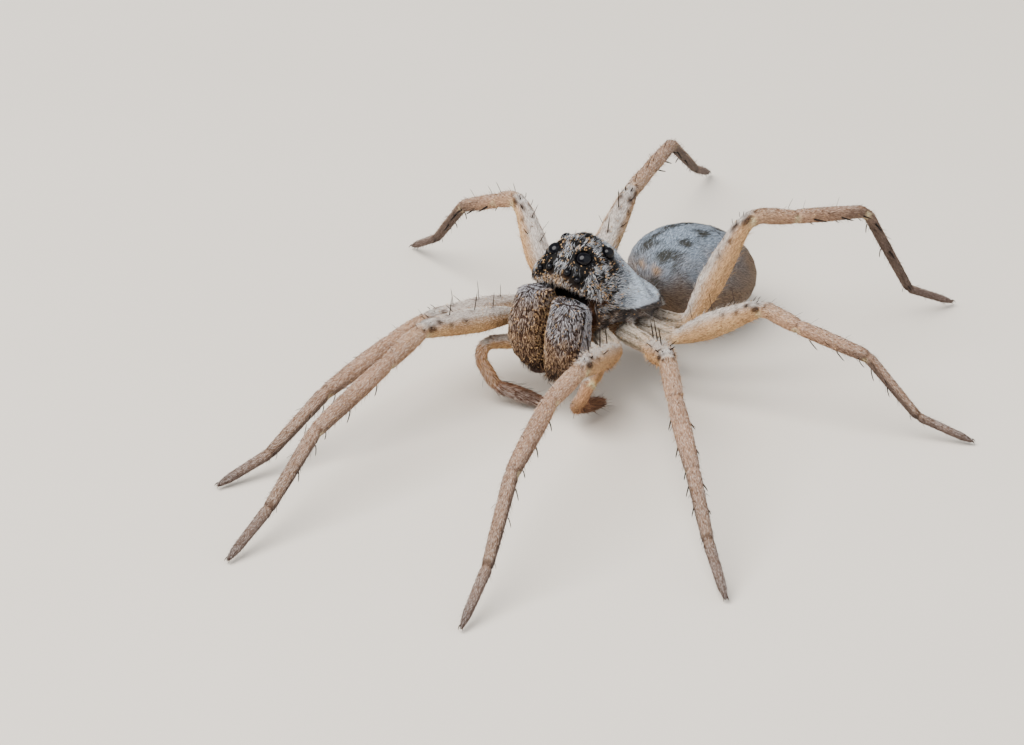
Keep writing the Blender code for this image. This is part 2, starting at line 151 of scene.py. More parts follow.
def rows_at(place, places, rows):
    """Rows between the given ones, at one place or many."""
    return np.array([np.interp(place, places, column) for column in rows.T]).T


def line_gap(points, start, end):
    """Distance of each point from a line between two places."""
    run = end - start
    share = np.clip((points - start) @ run / (run @ run), 0, 1)
    return norm(points - start - share[:, None] * run)


def ripple(points, wavelength, seed):
    """Smooth irregular waves of about -1 to 1, made of nine plane waves."""
    rng = np.random.default_rng(seed)
    total = np.zeros(len(points))
    for _ in range(9):
        heading = unit(rng.normal(size=3))
        pace = 2 * math.pi / (wavelength * rng.uniform(0.7, 1.5))
        total += np.sin(points @ heading * pace + rng.uniform(0, 2 * math.pi))
    return total / 3


# ---- reading the frame ----

def read(items, key, width=1, kind=np.int32):
    """Values of a mesh's corners, faces or edges, one row for each."""
    values = np.empty(len(items) * width, kind)
    items.foreach_get(key, values)
    return values.reshape(-1, width)


def mesh_corners(mesh):
    return read(mesh.vertices, "co", 3, np.float32).astype(float)


def node_shape(name):
    """Corners in millimetres and triangles of a solid, each corner once."""
    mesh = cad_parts[name].data
    mesh.calc_loop_triangles()
    corners, where = np.unique(mesh_corners(mesh), axis=0, return_inverse=True)
    return corners / MM, where.ravel()[read(mesh.loop_triangles, "vertices", 3)]


def joined(shapes):
    """The corners and faces of several shapes, as one list of each."""
    starts = np.cumsum([0] + [len(corners) for corners, _ in shapes])
    faces = [own + start for (_, own), start in zip(shapes, starts)]
    return np.vstack([corners for corners, _ in shapes]).tolist(), np.vstack(faces).tolist()


def face_normals(corners, triangles):
    a, b, c = (corners[column] for column in triangles.T)
    return np.cross(b - a, c - a)


def end_ring(corners, triangles, neighbour):
    """The corners of a limb solid's flat end that faces its neighbour."""
    normals = unit(face_normals(corners, triangles))
    levels = dot(normals, corners[triangles[:, 0]])
    offsets = abs(corners @ normals.T - levels) < FLATNESS
    ends = [np.flatnonzero(on_plane) for on_plane in offsets.T if on_plane.sum() == LIMB_SIDES]
    gaps = [norm(neighbour - corners[ring].mean(axis=0)).min() for ring in ends]
    return ends[int(np.argmin(gaps))]


def rings_from(corners, triangles, seeds):
    """Corners of a limb solid in rings, counted in edges from the seeds."""
    edges = np.vstack([triangles[:, [0, 1]], triangles[:, [1, 2]], triangles[:, [2, 0]]])
    edges = np.vstack([edges, edges[:, ::-1]])
    hops = np.full(len(corners), -1)
    hops[seeds] = 0
    step = 0
    while (hops < 0).any():
        reached = edges[hops[edges[:, 0]] == step, 1]
        hops[reached[hops[reached] < 0]] = step + 1
        step += 1
    return [corners[hops == i] for i in range(step + 1)]


class Limb:
    """The middle line of a leg or palp, with its radius and the way its back faces."""

    def __init__(self, label, kind, parts):
        self.label, self.kind = label, kind
        self.names = [f"{kind}_{label}_{part}" for part in parts]
        shapes = [node_shape(name) for name in self.names]
        middles, radii, ends = [], [], []
        for i, (corners, triangles) in enumerate(shapes):
            neighbour = shapes[i - 1 if i else 1][0]
            rings = rings_from(corners, triangles, end_ring(corners, triangles, neighbour))
            if i == 0:
                rings.reverse()
            middles += [ring.mean(axis=0) for ring in rings]
            radii += [norm(ring - ring.mean(axis=0)).mean() for ring in rings]
            ends.append(len(middles) - 1)
        self.middles, self.radii = np.array(middles), np.array(radii)
        steps = norm(np.diff(self.middles, axis=0))
        self.along = np.concatenate([[0], np.cumsum(steps)])
        self.length = self.along[-1]
        self.places = self.joint_places(*self.along[ends])
        self.tangents = unit(np.gradient(self.middles, axis=0))
        self.backs = self.carried_backs()

    def joint_places(self, *ends):
        """Lengths from the body that stand for 0 to 6 segments."""
        if self.kind == "palp":
            knee, wrist, tip = ends
            patella = knee + PALP_PATELLA * (wrist - knee)
            return 0, PALP_HIP * knee, knee, patella, wrist, wrist + PALP_STEP, tip
        hip, knee, ankle, tip = ends
        patella = knee + PATELLA * (ankle - knee)
        heel = ankle + METATARSUS[self.label[1]] * (tip - ankle)
        return 0, hip, knee, patella, ankle, heel, tip

    def carried_backs(self):
        """The back's direction, carried along the limb so that it never flips."""
        back, backs = np.array((0.0, 0.0, 1.0)), []
        for tangent in self.tangents:
            back = back - tangent * (back @ tangent)
            back = back / norm(back)
            backs.append(back)
        return np.array(backs)

    def project(self, points):
        """Length from the body, tangent, back and spot on the middle line for each point."""
        starts, runs = self.middles[:-1], np.diff(self.middles, axis=0)
        offset = points[:, None, :] - starts[None]
        share = np.clip((offset * runs).sum(2) / np.maximum((runs * runs).sum(1), 1e-9), 0, 1)
        best = norm(offset - share[..., None] * runs).argmin(axis=1)
        part = share[np.arange(len(points)), best]
        spot = starts[best] + runs[best] * part[:, None]
        tangent = unit(blend(self.tangents[best], self.tangents[best + 1], part))
        back = flat_on(blend(self.backs[best], self.backs[best + 1], part), tangent)
        along = self.along[best] + part * (self.along[best + 1] - self.along[best])
        return along, tangent, back, spot

    def place(self, segment):
        """Length from the body of a place counted in segments."""
        return np.interp(segment, JOINTS, self.places)

    def at(self, segment):
        """Middle, tangent, back and radius at a place counted in segments."""
        along = self.place(segment)
        middle, tangent, back = (rows_at(along, self.along, rows)
                                 for rows in (self.middles, self.tangents, self.backs))
        tangent = unit(tangent)
        back = unit(back - tangent * (back @ tangent))
        return middle, tangent, back, np.interp(along, self.along, self.radii)


def make_limbs():
    legs = [Limb(label, "leg", ("coxa", "femur", "tibia", "foot")) for label in LEGS]
    return legs + [Limb(side, "palp", ("femur", "tibia", "tarsus")) for side in "LR"]


def node_kind(name):
    """The kind of coat on a solid, or None for what stays separate."""
    return NODE_KINDS.get(name.split("_")[0], "under")


def box_of(name):
    """A node's lowest and highest corners, in millimetres."""
    low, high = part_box(name)
    return np.array(low) / MM, np.array(high) / MM


def ball_of(name):
    """Middle and radius of an eye."""
    low, high = box_of(name)
    return (low + high) / 2, (high - low).max() / 2


# ---- skin ----

def through_lens(points, middle, back=False):
    """Points spread away from the face, so that an even grid is finer there, or gathered back."""
    near = np.linspace(0.001, LENS_LIMIT, 4000)
    far = near + LENS_REACH * np.tanh(near / LENS_REACH)
    old, new = (far, near) if back else (near, far)
    away = points - middle
    distance = np.maximum(norm(away), 1e-6)
    return middle + away * (np.interp(distance, old, new) / distance)[:, None]


def corner_sums(corners, faces, values):
    """At each corner, the direction of the sum of what its faces give."""
    total = np.zeros_like(corners)
    for column in faces.T:
        np.add.at(total, column, values)
    return unit(total)


def swollen(name):
    """A solid a little larger all round, so that it overlaps its neighbours."""
    corners, triangles = node_shape(name)
    push = corner_sums(corners, triangles, face_normals(corners, triangles))
    return corners + push * (LIMB_SWELL if node_kind(name) in ("leg", "palp") else SWELL), triangles


def flesh_mesh(names, middle):
    """The swollen solids as one loose mesh of small faces, spread out by the lens."""
    corners, triangles = joined([swollen(name) for name in names])
    mesh = bpy.data.meshes.new("flesh")
    mesh.from_pydata(corners, [], triangles)
    cutter = bmesh.new()
    cutter.from_mesh(mesh)
    bmesh.ops.subdivide_edges(cutter, edges=cutter.edges[:], cuts=2, use_grid_fill=True)
    cutter.to_mesh(mesh)
    cutter.free()
    mesh.vertices.foreach_set("co", through_lens(mesh_corners(mesh), middle).astype(np.float32).ravel())
    return mesh


def remeshed(names, grid, middle):
    """Corners, quads and edges of one closed skin round the solids, in millimetres."""
    flesh = bpy.data.objects.new("flesh", flesh_mesh(names, middle))
    bpy.context.scene.collection.objects.link(flesh)
    remesh = flesh.modifiers.new("grid", "REMESH")
    remesh.mode = "VOXEL"
    remesh.voxel_size = grid
    depsgraph = bpy.context.evaluated_depsgraph_get()
    skin = bpy.data.meshes.new_from_object(flesh.evaluated_get(depsgraph))
    bpy.data.objects.remove(flesh, do_unlink=True)
    corners = through_lens(mesh_corners(skin), middle, back=True)
    return corners, read(skin.loops, "vertex_index").reshape(-1, 4), read(skin.edges, "vertices", 2)


def neighbour_mean(values, edges):
    """The mean of each corner's neighbours."""
    ends = np.concatenate([edges[:, 0], edges[:, 1]])
    others = np.concatenate([edges[:, 1], edges[:, 0]])
    count = np.bincount(ends, minlength=len(values))
    columns = values.reshape(len(values), -1)
    sums = [np.bincount(ends, weights=column[others], minlength=len(values)) for column in columns.T]
    return (np.array(sums).T / count[:, None]).reshape(values.shape)


def smoothed(corners, edges, rounds):
    """Corners without the solids' facets, at the same thickness."""
    for _ in range(rounds):
        corners = corners + SHRINK * (neighbour_mean(corners, edges) - corners)
        corners = corners - REGROW * (neighbour_mean(corners, edges) - corners)
    return corners


def quad_spans(corners, quads):
    """For each quad, its normal at the length of twice its area."""
    a, b, c, d = (corners[column] for column in quads.T)
    return np.cross(c - a, d - b)


def corner_normals(corners, quads):
    return corner_sums(corners, quads, quad_spans(corners, quads))


def nearest_nodes(points, flesh):
    """The index in flesh of the solid nearest to each point."""
    shapes = [node_shape(name) for name in flesh]
    owner = np.repeat(np.arange(len(flesh)), [len(triangles) for _, triangles in shapes])
    tree = BVHTree.FromPolygons(*joined(shapes))
    return owner[[tree.find_nearest(point)[2] for point in points.tolist()]]


class Head:
    """Places on the head, from the frame: its eyes, brow, nape and the edge over the jaws."""

    def __init__(self):
        self.eyes = {name: ball_of(name) for name in EYES}
        self.low, self.high = box_of("carapace")
        self.midline = (self.low[0] + self.high[0]) / 2
        self.brow = (self.eyes["eye_middle_L"][0] + self.eyes["eye_middle_R"][0]) / 2
        self.nape = (self.eyes["eye_rear_L"][0] + self.eyes["eye_rear_R"][0]) / 2
        self.jaws = {side: box_of(f"chelicera_{side}") for side in "LR"}
        self.middle = (self.brow + self.nape) / 2 - HEAD_DEPTH

    def across(self, points):
        return points[:, 0] - self.midline

    def above_lip(self, points):
        """Height over the lower edge of the face, which hangs over the jaws."""
        return points[:, 2] - (self.jaws["L"][1][2] + 0.24 - 0.12 * self.across(points) ** 2)

    def above_hem(self, points):
        """Height over the hem of the carapace along the sides."""
        hem = self.low[2] + 0.30 * (self.high[2] - self.low[2])
        return points[:, 2] - hem + 0.13 * points[:, 1]

    def near_eye(self, points):
        """1 at the rim of the nearest eye, falling to 0 over a part of its radius."""
        nearness = np.zeros(len(points))
        for middle, radius in self.eyes.values():
            gap = norm(points - middle) - radius
            reach = 0.14 + 0.40 * radius
            nearness = np.maximum(nearness, 1 - ease(0.25 * reach, reach, gap))
        return nearness


class Surface:
    """The skin: corners, quads, normals, and what part of the body each corner is."""

    def __init__(self, limbs, head):
        self.limbs, self.head = limbs, head
        self.flesh = sorted(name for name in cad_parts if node_kind(name))
        corners, self.quads, edges = remeshed(self.flesh, SKIN_GRID, head.middle)
        corners = smoothed(corners, edges, SMOOTH_ROUNDS)
        node = nearest_nodes(corners, self.flesh)
        self.kind = np.array([node_kind(name) for name in self.flesh])[node]
        depth = np.array([COATS[node_kind(name)][2] for name in self.flesh])[node] + SWELL
        for _ in range(DEPTH_ROUNDS):
            depth = neighbour_mean(depth, edges)
        self.corners = corners - corner_normals(corners, self.quads) * depth[:, None]
        self.locate(node)
        self.shape_limbs()
        self.shape_face()
        self.eye_axes = {name: self.fit_eye(*ball) for name, ball in head.eyes.items()}
        self.corners[:, 2] = np.maximum(self.corners[:, 2], SKIN_FLOOR)
        self.normals = corner_normals(self.corners, self.quads)

    def spots(self, index):
        """The chosen corners as rows, with no colours yet."""
        own = ("kind", "limb", "segment", "along", "tangent", "back", "spot")
        rows = {key: getattr(self, key)[index] for key in own}
        rows.update({key: np.zeros((len(index), 3)) for key in COLOURS})
        rows.update({key: np.zeros(len(index)) for key in SHARES})
        return Rows({**rows, "point": self.corners[index], "normal": self.normals[index]})

    def locate(self, node):
        """Where each corner lies on its limb; for the rest of the body, zeros."""
        count = len(self.corners)
        self.limb = np.full(count, -1)
        self.along, self.segment = np.zeros((2, count))
        self.tangent = np.tile((0.0, 1.0, 0.0), (count, 1))
        self.back = np.tile((0.0, 0.0, 1.0), (count, 1))
        self.spot = self.corners.copy()
        for i, limb in enumerate(self.limbs):
            chosen = np.isin(node, [self.flesh.index(name) for name in limb.names])
            self.limb[chosen] = i
            found = limb.project(self.corners[chosen])
            self.along[chosen], self.tangent[chosen], self.back[chosen], self.spot[chosen] = found
            self.segment[chosen] = np.interp(found[0], limb.places, JOINTS)

    def shape_limbs(self):
        """Waists at the joints, soft swellings under the knees and slender toes."""
        out = flat_on(self.corners - self.spot, self.tangent)
        lower = ease(0.2, 0.9, -dot(out, self.back))
        change = np.zeros(len(self.corners))
        for joint, depth, width in WAISTS:
            change -= depth * bell(self.segment, joint, width)
        change += 0.05 * bell(self.segment, 2.0, 0.10) * lower
        change += 0.03 * bell(self.segment, 4.0, 0.05) * lower
        change -= 0.08 * ease(5.75, 6.0, self.segment) * (self.kind == "leg")
        self.corners = self.corners + out * (change * (self.limb >= 0))[:, None]

    def shape_face(self):
        """The face's lower edge stands out over a groove behind the jaws."""
        normals = corner_normals(self.corners, self.quads)
        height = self.head.above_lip(self.corners)
        front = ease(0.1, 0.6, -normals[:, 1]) * (self.kind == "carapace")
        push = 0.10 * bell(height, 0.13, 0.13) - 0.16 * bell(height, -0.22, 0.17)
        self.corners = self.corners + normals * (push * front)[:, None]

    def fit_eye(self, middle, radius):
        """Raises the skin round an eye, closes the socket on it and tells where it faces."""
        normals = corner_normals(self.corners, self.quads)
        away = self.corners - middle
        distance = norm(away)
        ring = (distance > radius + 0.12) & (distance < radius + 0.40) & (self.kind == "carapace")
        axis = unit(normals[ring].mean(axis=0))
        facing = ease(0.0, 0.6, -dot(normals, unit(away)))
        rise = RIM_SHARE * radius * (1 - ease(0.06, RIM_REACH, distance - radius)) * (1 - facing)
        self.corners = self.corners + axis * rise[:, None]
        wall = middle + unit(away) * (radius - SOCKET_WALL)
        self.corners = blend(self.corners, wall, facing * (distance < radius + 0.22))
        return axis


# ---- markings ----

LEG_TONES = np.array((
    # place in segments, and colour
    (0.0, 206, 200, 190), (1.0, 200, 172, 142), (1.9, 198, 162, 130), (3.0, 190, 152, 124),
    (4.0, 176, 142, 118), (4.9, 156, 128, 108), (5.5, 146, 118, 100), (5.8, 98, 80, 70), (6.0, 30, 24, 22),
))
SPINES = (
    # place in segments, turn from the back and lift in degrees, length and width;
    # a turn other than 0 or 180 stands for one on each side
    (1.26, 0, 74, 1.05, 0.060), (1.50, 0, 76, 1.25, 0.062), (1.76, 0, 74, 1.20, 0.062),
    (1.62, 50, 58, 0.60, 0.050), (1.90, 40, 46, 0.36, 0.062), (1.98, 24, 40, 0.28, 0.060),
    (2.18, 0, 62, 0.60, 0.042), (2.84, 0, 60, 0.72, 0.042),
    (3.14, 0, 60, 0.62, 0.032), (3.62, 0, 60, 0.58, 0.032), (3.40, 84, 36, 0.42, 0.036),
    (3.22, 130, 34, 0.72, 0.098), (3.58, 130, 34, 0.72, 0.098), (3.92, 132, 36, 0.48, 0.088),
    (4.14, 130, 34, 0.62, 0.090), (4.46, 130, 34, 0.56, 0.084), (4.34, 80, 36, 0.36, 0.034),
    (4.94, 134, 32, 0.30, 0.044),
)
PALP_SPINES = (
    (5.08, 100, 24, 0.80, 0.036), (5.30, 150, 26, 0.85, 0.036), (5.52, 105, 24, 0.62, 0.034),
    (4.60, 130, 26, 0.70, 0.036), (3.60, 60, 40, 0.50, 0.032), (2.60, 0, 60, 0.45, 0.030),
)
KNEE_SPOTS = (
    # place in segments, turn from the back in degrees, width and strength
    (1.89, 34, 0.032, 1.2), (1.98, 72, 0.044, 1.6), (2.12, 40, 0.032, 1.2), (1.78, 60, 0.026, 0.9),
)
KNEE_SPREAD = 560  # degrees round the leg for each segment of a knee spot's width
FOOT_SHIFT, FOOT_SPOT = 0.012, (0.020, 0.6, 15)  # of a spine: shift and width in segments, strength, degrees
FOOT_SPOTS_END = 2.5  # the last segment whose spines stand in a dark spot
ABDOMEN_SPOTS = (
    # across and along the abdomen's box, from its middle, and width
    (0.18, -0.76, 0.14), (0.33, -0.70, 0.14), (0.30, -0.47, 0.11), (0.26, -0.11, 0.13),
    (0.23, 0.14, 0.09), (0.19, 0.38, 0.08), (0.15, 0.60, 0.07),
)
COLOURS, SHARES = ("skin", "pale", "dark"), ("dark_share", "bare", "dust")


class Rows:
    """Arrays of one length, for places on the skin or for hairs."""

    def __init__(self, arrays):
        self.__dict__.update(arrays)

    def __len__(self):
        return len(self.point)

    def take(self, chosen):
        """The chosen rows of every array."""
        return Rows({key: values[chosen] for key, values in self.__dict__.items()})

    def paint(self, key, *layers):
        """Lays colours over the skin, the pale hairs or the dark ones, each by its share."""
        for tone, share in layers:
            setattr(self, key, blend(getattr(self, key), srgb(*tone), share))

    def sides(self):
        """How far each spot of a limb faces its back and its side, from -1 to 1."""
        out = flat_on(self.point - self.spot, self.tangent)
        return dot(out, self.back), dot(out, np.cross(self.tangent, self.back))


def dark_face(points, head):
    """The black parts of the head: round the eyes, on the crown and under each eye."""
    across, y, z = abs(head.across(points)), points[:, 1], points[:, 2]
    crown = bell(y, head.nape[1] - 0.15, 0.62) * (1 - ease(0.30, 0.62, across))
    crown = crown * ease(-0.1, 0.3, z - head.brow[2])
    black = np.maximum(head.near_eye(points), 1.1 * crown)
    for side, sign in (("L", 1), ("R", -1)):
        middle, outer = (head.eyes[f"eye_{place}_{side}"][0] for place in ("middle", "front_outer"))
        rear, radius = head.eyes[f"eye_rear_{side}"]
        under = 1 - ease(0.24, 0.52, line_gap(points, middle, outer))
        flank = rear + np.array((0.55 * sign, 0.25, -0.75))
        beside = 1 - ease(radius, radius + 0.30, line_gap(points, rear, flank))
        black = np.maximum(black, np.maximum(under, 0.6 * beside))
    return black


def thorax_rays(points, head):
    """Darker rays from a short groove in the middle of the thorax."""
    across = head.across(points)
    behind = points[:, 1] - head.nape[1] - 1.55
    turn = np.arctan2(across, behind)
    rays = ease(0.2, 1.0, np.cos(9 * turn + 0.5 * ripple(points, 0.9, 14)))
    groove = bell(across, 0, 0.07) * bell(behind, 0, 0.34)
    return np.maximum(0.8 * rays * ease(0.3, 1.2, np.hypot(across, behind)), 1.6 * groove)


def colour_carapace(spots, head):
    """Black and white on the head, silvery with darker rays on the thorax."""
    points = spots.point
    y, z = points[:, 1], points[:, 2]
    mottle, fine = ripple(points, 0.9, 3), ripple(points, 0.42, 4)
    thorax = ease(-0.35, 1.5, y - head.nape[1] - 0.1 + 0.35 * np.maximum(head.nape[2] - 1.1 - z, 0))
    black = np.clip(dark_face(points, head) + 0.28 * mottle + 0.14 * fine, 0, 1) * (1 - thorax)
    fleck = ease(0.85, 1.35, ripple(points, 0.5, 5)) * thorax
    rays = thorax_rays(points, head) * thorax
    spots.paint("skin", ((26, 24, 24), 1), ((194, 206, 220), thorax), ((7, 6, 6), black),
                ((84, 85, 88), 0.55 * rays))
    spots.paint("pale", ((240, 243, 250), 1), ((230, 241, 255), thorax), ((34, 31, 30), 0.90 * black))
    spots.paint("dark", ((16, 14, 14), 1), ((118, 124, 134), thorax))
    on_head = (0.50 + 0.14 * fine + 0.10 * mottle) * (1 - thorax)
    on_thorax = (0.03 + 0.46 * rays + 0.14 * mottle) * thorax
    spots.dark_share = on_head + on_thorax + 0.4 * fleck + 0.50 * black
    crumbs = ease(0.0, 1.1, ripple(points, 0.6, 10))
    spots.dust = (0.02 + 0.14 * crumbs + 0.05 * bell(y, head.brow[1] + 0.1, 0.8)) * (1 - thorax) + 0.004
    colour_hem(spots, head)
    colour_lip(spots, head)


def colour_hem(spots, head):
    """Below its hem the carapace's side is a dark, blotched band over the hips."""
    height = head.above_hem(spots.point)
    blotch = ripple(spots.point, 0.7, 6)
    below = 1 - ease(-0.10, 0.02, height + 0.04 * blotch)
    line, fringe = bell(height, -0.08, 0.06), bell(height, 0.10, 0.08)
    light = below * ease(0.2, 0.9, blotch) * (1 - line)
    spots.paint("skin", ((46, 38, 34), 0.95 * below), ((122, 104, 90), 0.6 * light))
    spots.paint("pale", ((128, 114, 104), below), ((196, 192, 188), light), ((206, 208, 211), 0.7 * fringe))
    spots.paint("dark", ((30, 26, 25), below))
    spots.dark_share = spots.dark_share * (1 - 0.6 * fringe) + (0.35 + 0.5 * line) * below * (1 - light)
    spots.bare = 0.35 * below


def colour_lip(spots, head):
    """A sandy fringe along the face's lower edge, and the bare groove under it, painted near-black as shade
    under the edge, with the membrane's own brown towards its sides.
    """
    height = head.above_lip(spots.point)
    across = head.across(spots.point)
    front = ease(0.0, 0.5, -spots.normal[:, 1]) * (spots.point[:, 1] < head.nape[1] - 1.0)
    broken = 0.7 + 0.4 * ripple(spots.point, 0.35, 9)
    fringe = np.clip(bell(height, 0.20, 0.19) * broken, 0, 1)
    shield = np.clip(bell(height, 0.45, 0.24) * bell(across, 0, 0.60) * broken, 0, 1)
    sandy = np.maximum(fringe, shield) * front
    groove = (1 - ease(-0.06, 0.03, height)) * front
    membrane = ease(1.15, 1.45, abs(across))
    spots.paint("skin", ((104, 76, 52), 0.6 * sandy))
    # painted shade: the groove under the face's edge is near-black; the brown towards its sides is the
    # membrane's own colour
    spots.skin = blend(spots.skin, blend(srgb(9, 7, 7), srgb(66, 42, 28), membrane), groove)
    spots.paint("pale", ((150, 112, 78), membrane * groove), ((212, 184, 150), 0.75 * sandy))
    spots.dark_share = np.clip(spots.dark_share * (1 - 0.55 * sandy), 0, 0.97)
    spots.dust = np.maximum(spots.dust, 0.34 * sandy) * (1 - groove)
    spots.bare = np.maximum(spots.bare, groove * (1 - 0.6 * membrane))


def colour_jaws(spots, head):
    """Silvery over brown, with a pale ridge and a dark seam on the outer side, and the top at the back bare
    and painted near-black as shade under the face's edge.
    """
    points = spots.point
    right, across = head.across(points) < 0, abs(head.across(points))
    low, high = (np.where(right[:, None], head.jaws["R"][end], head.jaws["L"][end]) for end in (0, 1))
    share = (points - low) / (high - low)
    height = share[:, 2]
    outer = ease(0.45, 0.75, across / (head.jaws["L"][1][0] - head.midline))
    cleft = 1 - ease(0.10, 0.80, across)
    mottle, fine = ripple(points, 0.8, 7), ripple(points, 0.4, 8)
    brown = np.clip(1 - ease(0.34, 0.90, height + 0.12 * mottle - 0.10 * cleft) + 0.6 * cleft, 0, 1)
    brown = np.maximum(brown, 0.7 * right * (1 - ease(0.80, 1.0, height)))
    low_dark = 1 - ease(0.06, 0.44, height + 0.05 * fine)
    slant = (share[:, 1] - 0.14) - 0.62 * height
    ridge, seam = bell(slant, 0.0, 0.040) * outer, bell(slant, -0.09, 0.030) * outer
    blue = outer * ease(-0.02, 0.10, slant) * ease(0.2, 0.5, height)
    # painted shade: the top at the back, under the face's edge, is near-black; it is also left bare of hair
    bare_shaded_top = ease(0.90, 0.97, height) * ease(0.55, 0.75, share[:, 1])
    spots.paint("skin", ((44, 36, 34), 1), ((58, 36, 23), brown),
                ((104, 106, 114), 0.8 * np.maximum(ridge, blue)),
                ((26, 19, 15), np.maximum(0.7 * low_dark, seam)), ((12, 10, 10), bare_shaded_top))
    spots.paint("pale", ((236, 236, 245), 1), ((224, 190, 156), brown),
                ((206, 209, 218), np.maximum(ridge, 0.8 * blue)), ((112, 80, 56), 0.80 * low_dark))
    spots.paint("dark", ((28, 23, 22), 1), ((38, 24, 16), brown))
    spots.dark_share = 0.46 + 0.04 * brown + 0.14 * fine + 0.28 * low_dark - 0.32 * ridge + 0.5 * seam
    speckle = np.clip(0.02 + 0.13 * cleft + 0.05 * mottle + 0.05 * fine + 0.04 * brown, 0, 1)
    spots.dust = speckle * (1 - 0.8 * np.maximum(blue, ridge)) * (1 - 0.5 * low_dark)
    spots.bare = bare_shaded_top


def colour_abdomen(spots, head):
    """Grey-blue above with pairs of dark spots, brown below, and painted shade that darkens the grey-blue
    down the sides and towards the rear.
    """
    points = spots.point
    low, high = box_of("abdomen")
    x, y, z = ((points - (low + high) / 2) / (high - low) * 2).T
    mottle, fine = ripple(points, 1.5, 11), ripple(points, 0.6, 12)
    above = ease(-0.20, 0.95, z + 0.14 * mottle - 0.22 * ease(0.1, 1.0, y))
    wobble = 0.05 * ripple(points, 0.9, 13)
    dark = np.zeros(len(points))
    for spot_x, spot_y, width in ABDOMEN_SPOTS:
        gap = np.hypot(abs(x) - spot_x, 0.9 * (y - spot_y)) + wobble
        dark = np.maximum(dark, 1 - ease(0.10 * width, 1.55 * width, gap))
    band = bell(abs(x), 0.27, 0.12) * bell(y, -0.25, 0.60)
    dark = np.clip(dark + 0.30 * band * ease(-0.3, 0.9, fine) + 0.14 * ease(0.4, 1.2, fine), 0, 1) * above
    dark = np.maximum(dark, 0.8 * bell(abs(x), 0.20, 0.15) * bell(y, -0.98, 0.05) * bell(z, 0.38, 0.11))
    warm = bell(abs(x), 0.17, 0.13) * bell(y, -0.94, 0.06) * bell(z, 0.58, 0.15) * (0.6 + 0.5 * fine)
    warm = np.clip(warm, 0, 1)
    # painted shade: the grey-blue darkens lower down the sides and towards the rear
    shade = (0.44 + 0.56 * ease(0.30, 1.0, z - 0.12 * y))[:, None]
    spots.skin = blend(srgb(100, 82, 68), srgb(118, 130, 144) * shade, above)
    spots.pale = blend(srgb(156, 134, 114), srgb(190, 203, 219) * shade, above)
    spots.paint("skin", ((138, 104, 70), 0.70 * warm), ((58, 54, 45), 0.85 * dark))
    spots.paint("pale", ((206, 164, 118), 0.80 * warm))
    spots.paint("dark", ((84, 68, 56), 1), ((64, 61, 52), above))
    spots.dark_share = np.clip(0.12 + 0.84 * dark + 0.12 * (1 - above), 0, 0.92)


def colour_under(spots, head):
    """Warm brown between the legs, greyer on the stalk and the spinnerets."""
    shade = ripple(spots.point, 0.9, 15)
    breast_end = box_of("sternum")[1][1]
    rear = ease(breast_end - 0.2, breast_end + 0.3, spots.point[:, 1])
    spots.paint("skin", ((112, 82, 58), 1), ((80, 68, 60), rear))
    spots.paint("pale", ((184, 158, 128), 1), ((146, 132, 120), rear))
    spots.paint("dark", ((80, 60, 46), 1), ((66, 56, 50), rear))
    spots.skin = spots.skin * (1 + 0.12 * shade)[:, None]
    spots.dark_share = 0.30 + 0.08 * shade


def colour_limbs(spots, head):
    """Tan with cream joints and darker feet whose undersides carry painted shade, the femur pale above and
    warm below.
    """
    segment = spots.segment
    above, side = spots.sides()
    leg = spots.kind == "leg"
    fade, fine = ripple(spots.point, 2.2, 21), ripple(spots.point, 0.5, 22)
    femur = ease(0.9, 1.1, segment) * (1 - ease(2.0, 2.15, segment))
    # painted shade: the undersides of the feet, from the tibia on, are darker grey
    feet = ease(3.0, 4.3, segment) * ease(-0.75, -0.05, -above) * leg
    joint = bell(segment, 2.02, 0.05) + bell(segment, 2.98, 0.05) + bell(segment, 3.99, 0.035)
    joint = np.minimum(joint * ease(-0.4, 0.2, -above), 1)
    hip = (1 - ease(0.80, 1.02, segment)) * leg
    stripe = hip * ease(0.1, 0.8, np.cos(7 * np.arctan2(side, above) + 0.6 * fade))
    spots.skin = rows_at(segment, LEG_TONES[:, 0], srgb(*LEG_TONES[:, 1:].T).T)
    spots.paint("skin", ((194, 146, 100), 0.60 * ~leg),
                ((128, 92, 72), 0.85 * ease(3.7, 5.0, segment) * ~leg),
                ((208, 166, 120), 0.92 * femur * ease(-0.75, -0.05, -above)),
                ((218, 208, 200), 0.80 * femur * ease(0.50, 0.90, above)),
                # painted shade: darker grey on the feet's undersides
                ((94, 80, 74), 0.86 * feet), ((124, 106, 98), 0.6 * ease(4.9, 5.3, segment) * leg),
                ((236, 212, 168), 0.9 * joint), ((116, 106, 84), 0.75 * stripe))
    spots.skin = spots.skin * (1 + 0.07 * fade + 0.05 * fine)[:, None]
    spots.paint("skin", ((222, 216, 210), 0.6 * (bell(segment, 1.97, 0.05) * ease(0.2, 0.8, above))))
    tone = spots.skin
    ring = bell(segment, 4.96, 0.030) + 0.40 * bell(segment, 3.98, 0.02) + 0.32 * bell(segment, 2.97, 0.02)
    speck = ease(1.05, 1.35, ripple(spots.point, 0.4, 24)) * bell(segment, 1.75, 0.35) * ease(0.0, 0.5, above)
    dark = np.clip(0.60 * (ring * leg) + 0.20 * speck + spine_feet(spots, above, side) * leg, 0, 1)
    spots.skin, spots.pale = tone * 0.64, np.minimum(tone * 1.5, 0.92)
    spots.dark = tone * np.array((0.40, 0.34, 0.31))
    spots.paint("skin", ((36, 27, 24), dark))
    spots.paint("pale", ((226, 217, 212), 0.55 * ease(-0.2, 0.7, above) * (1 - 0.8 * feet)),
                ((62, 46, 40), 0.92 * dark))
    pepper = 0.36 + 0.12 * ease(2.0, 2.4, segment) + 0.10 * fine
    spots.dark_share = np.clip(pepper + 0.6 * dark, 0, 0.95)
    spots.dust = 0.02 * (1 - dark) * (1 - ease(3.6, 4.2, segment))


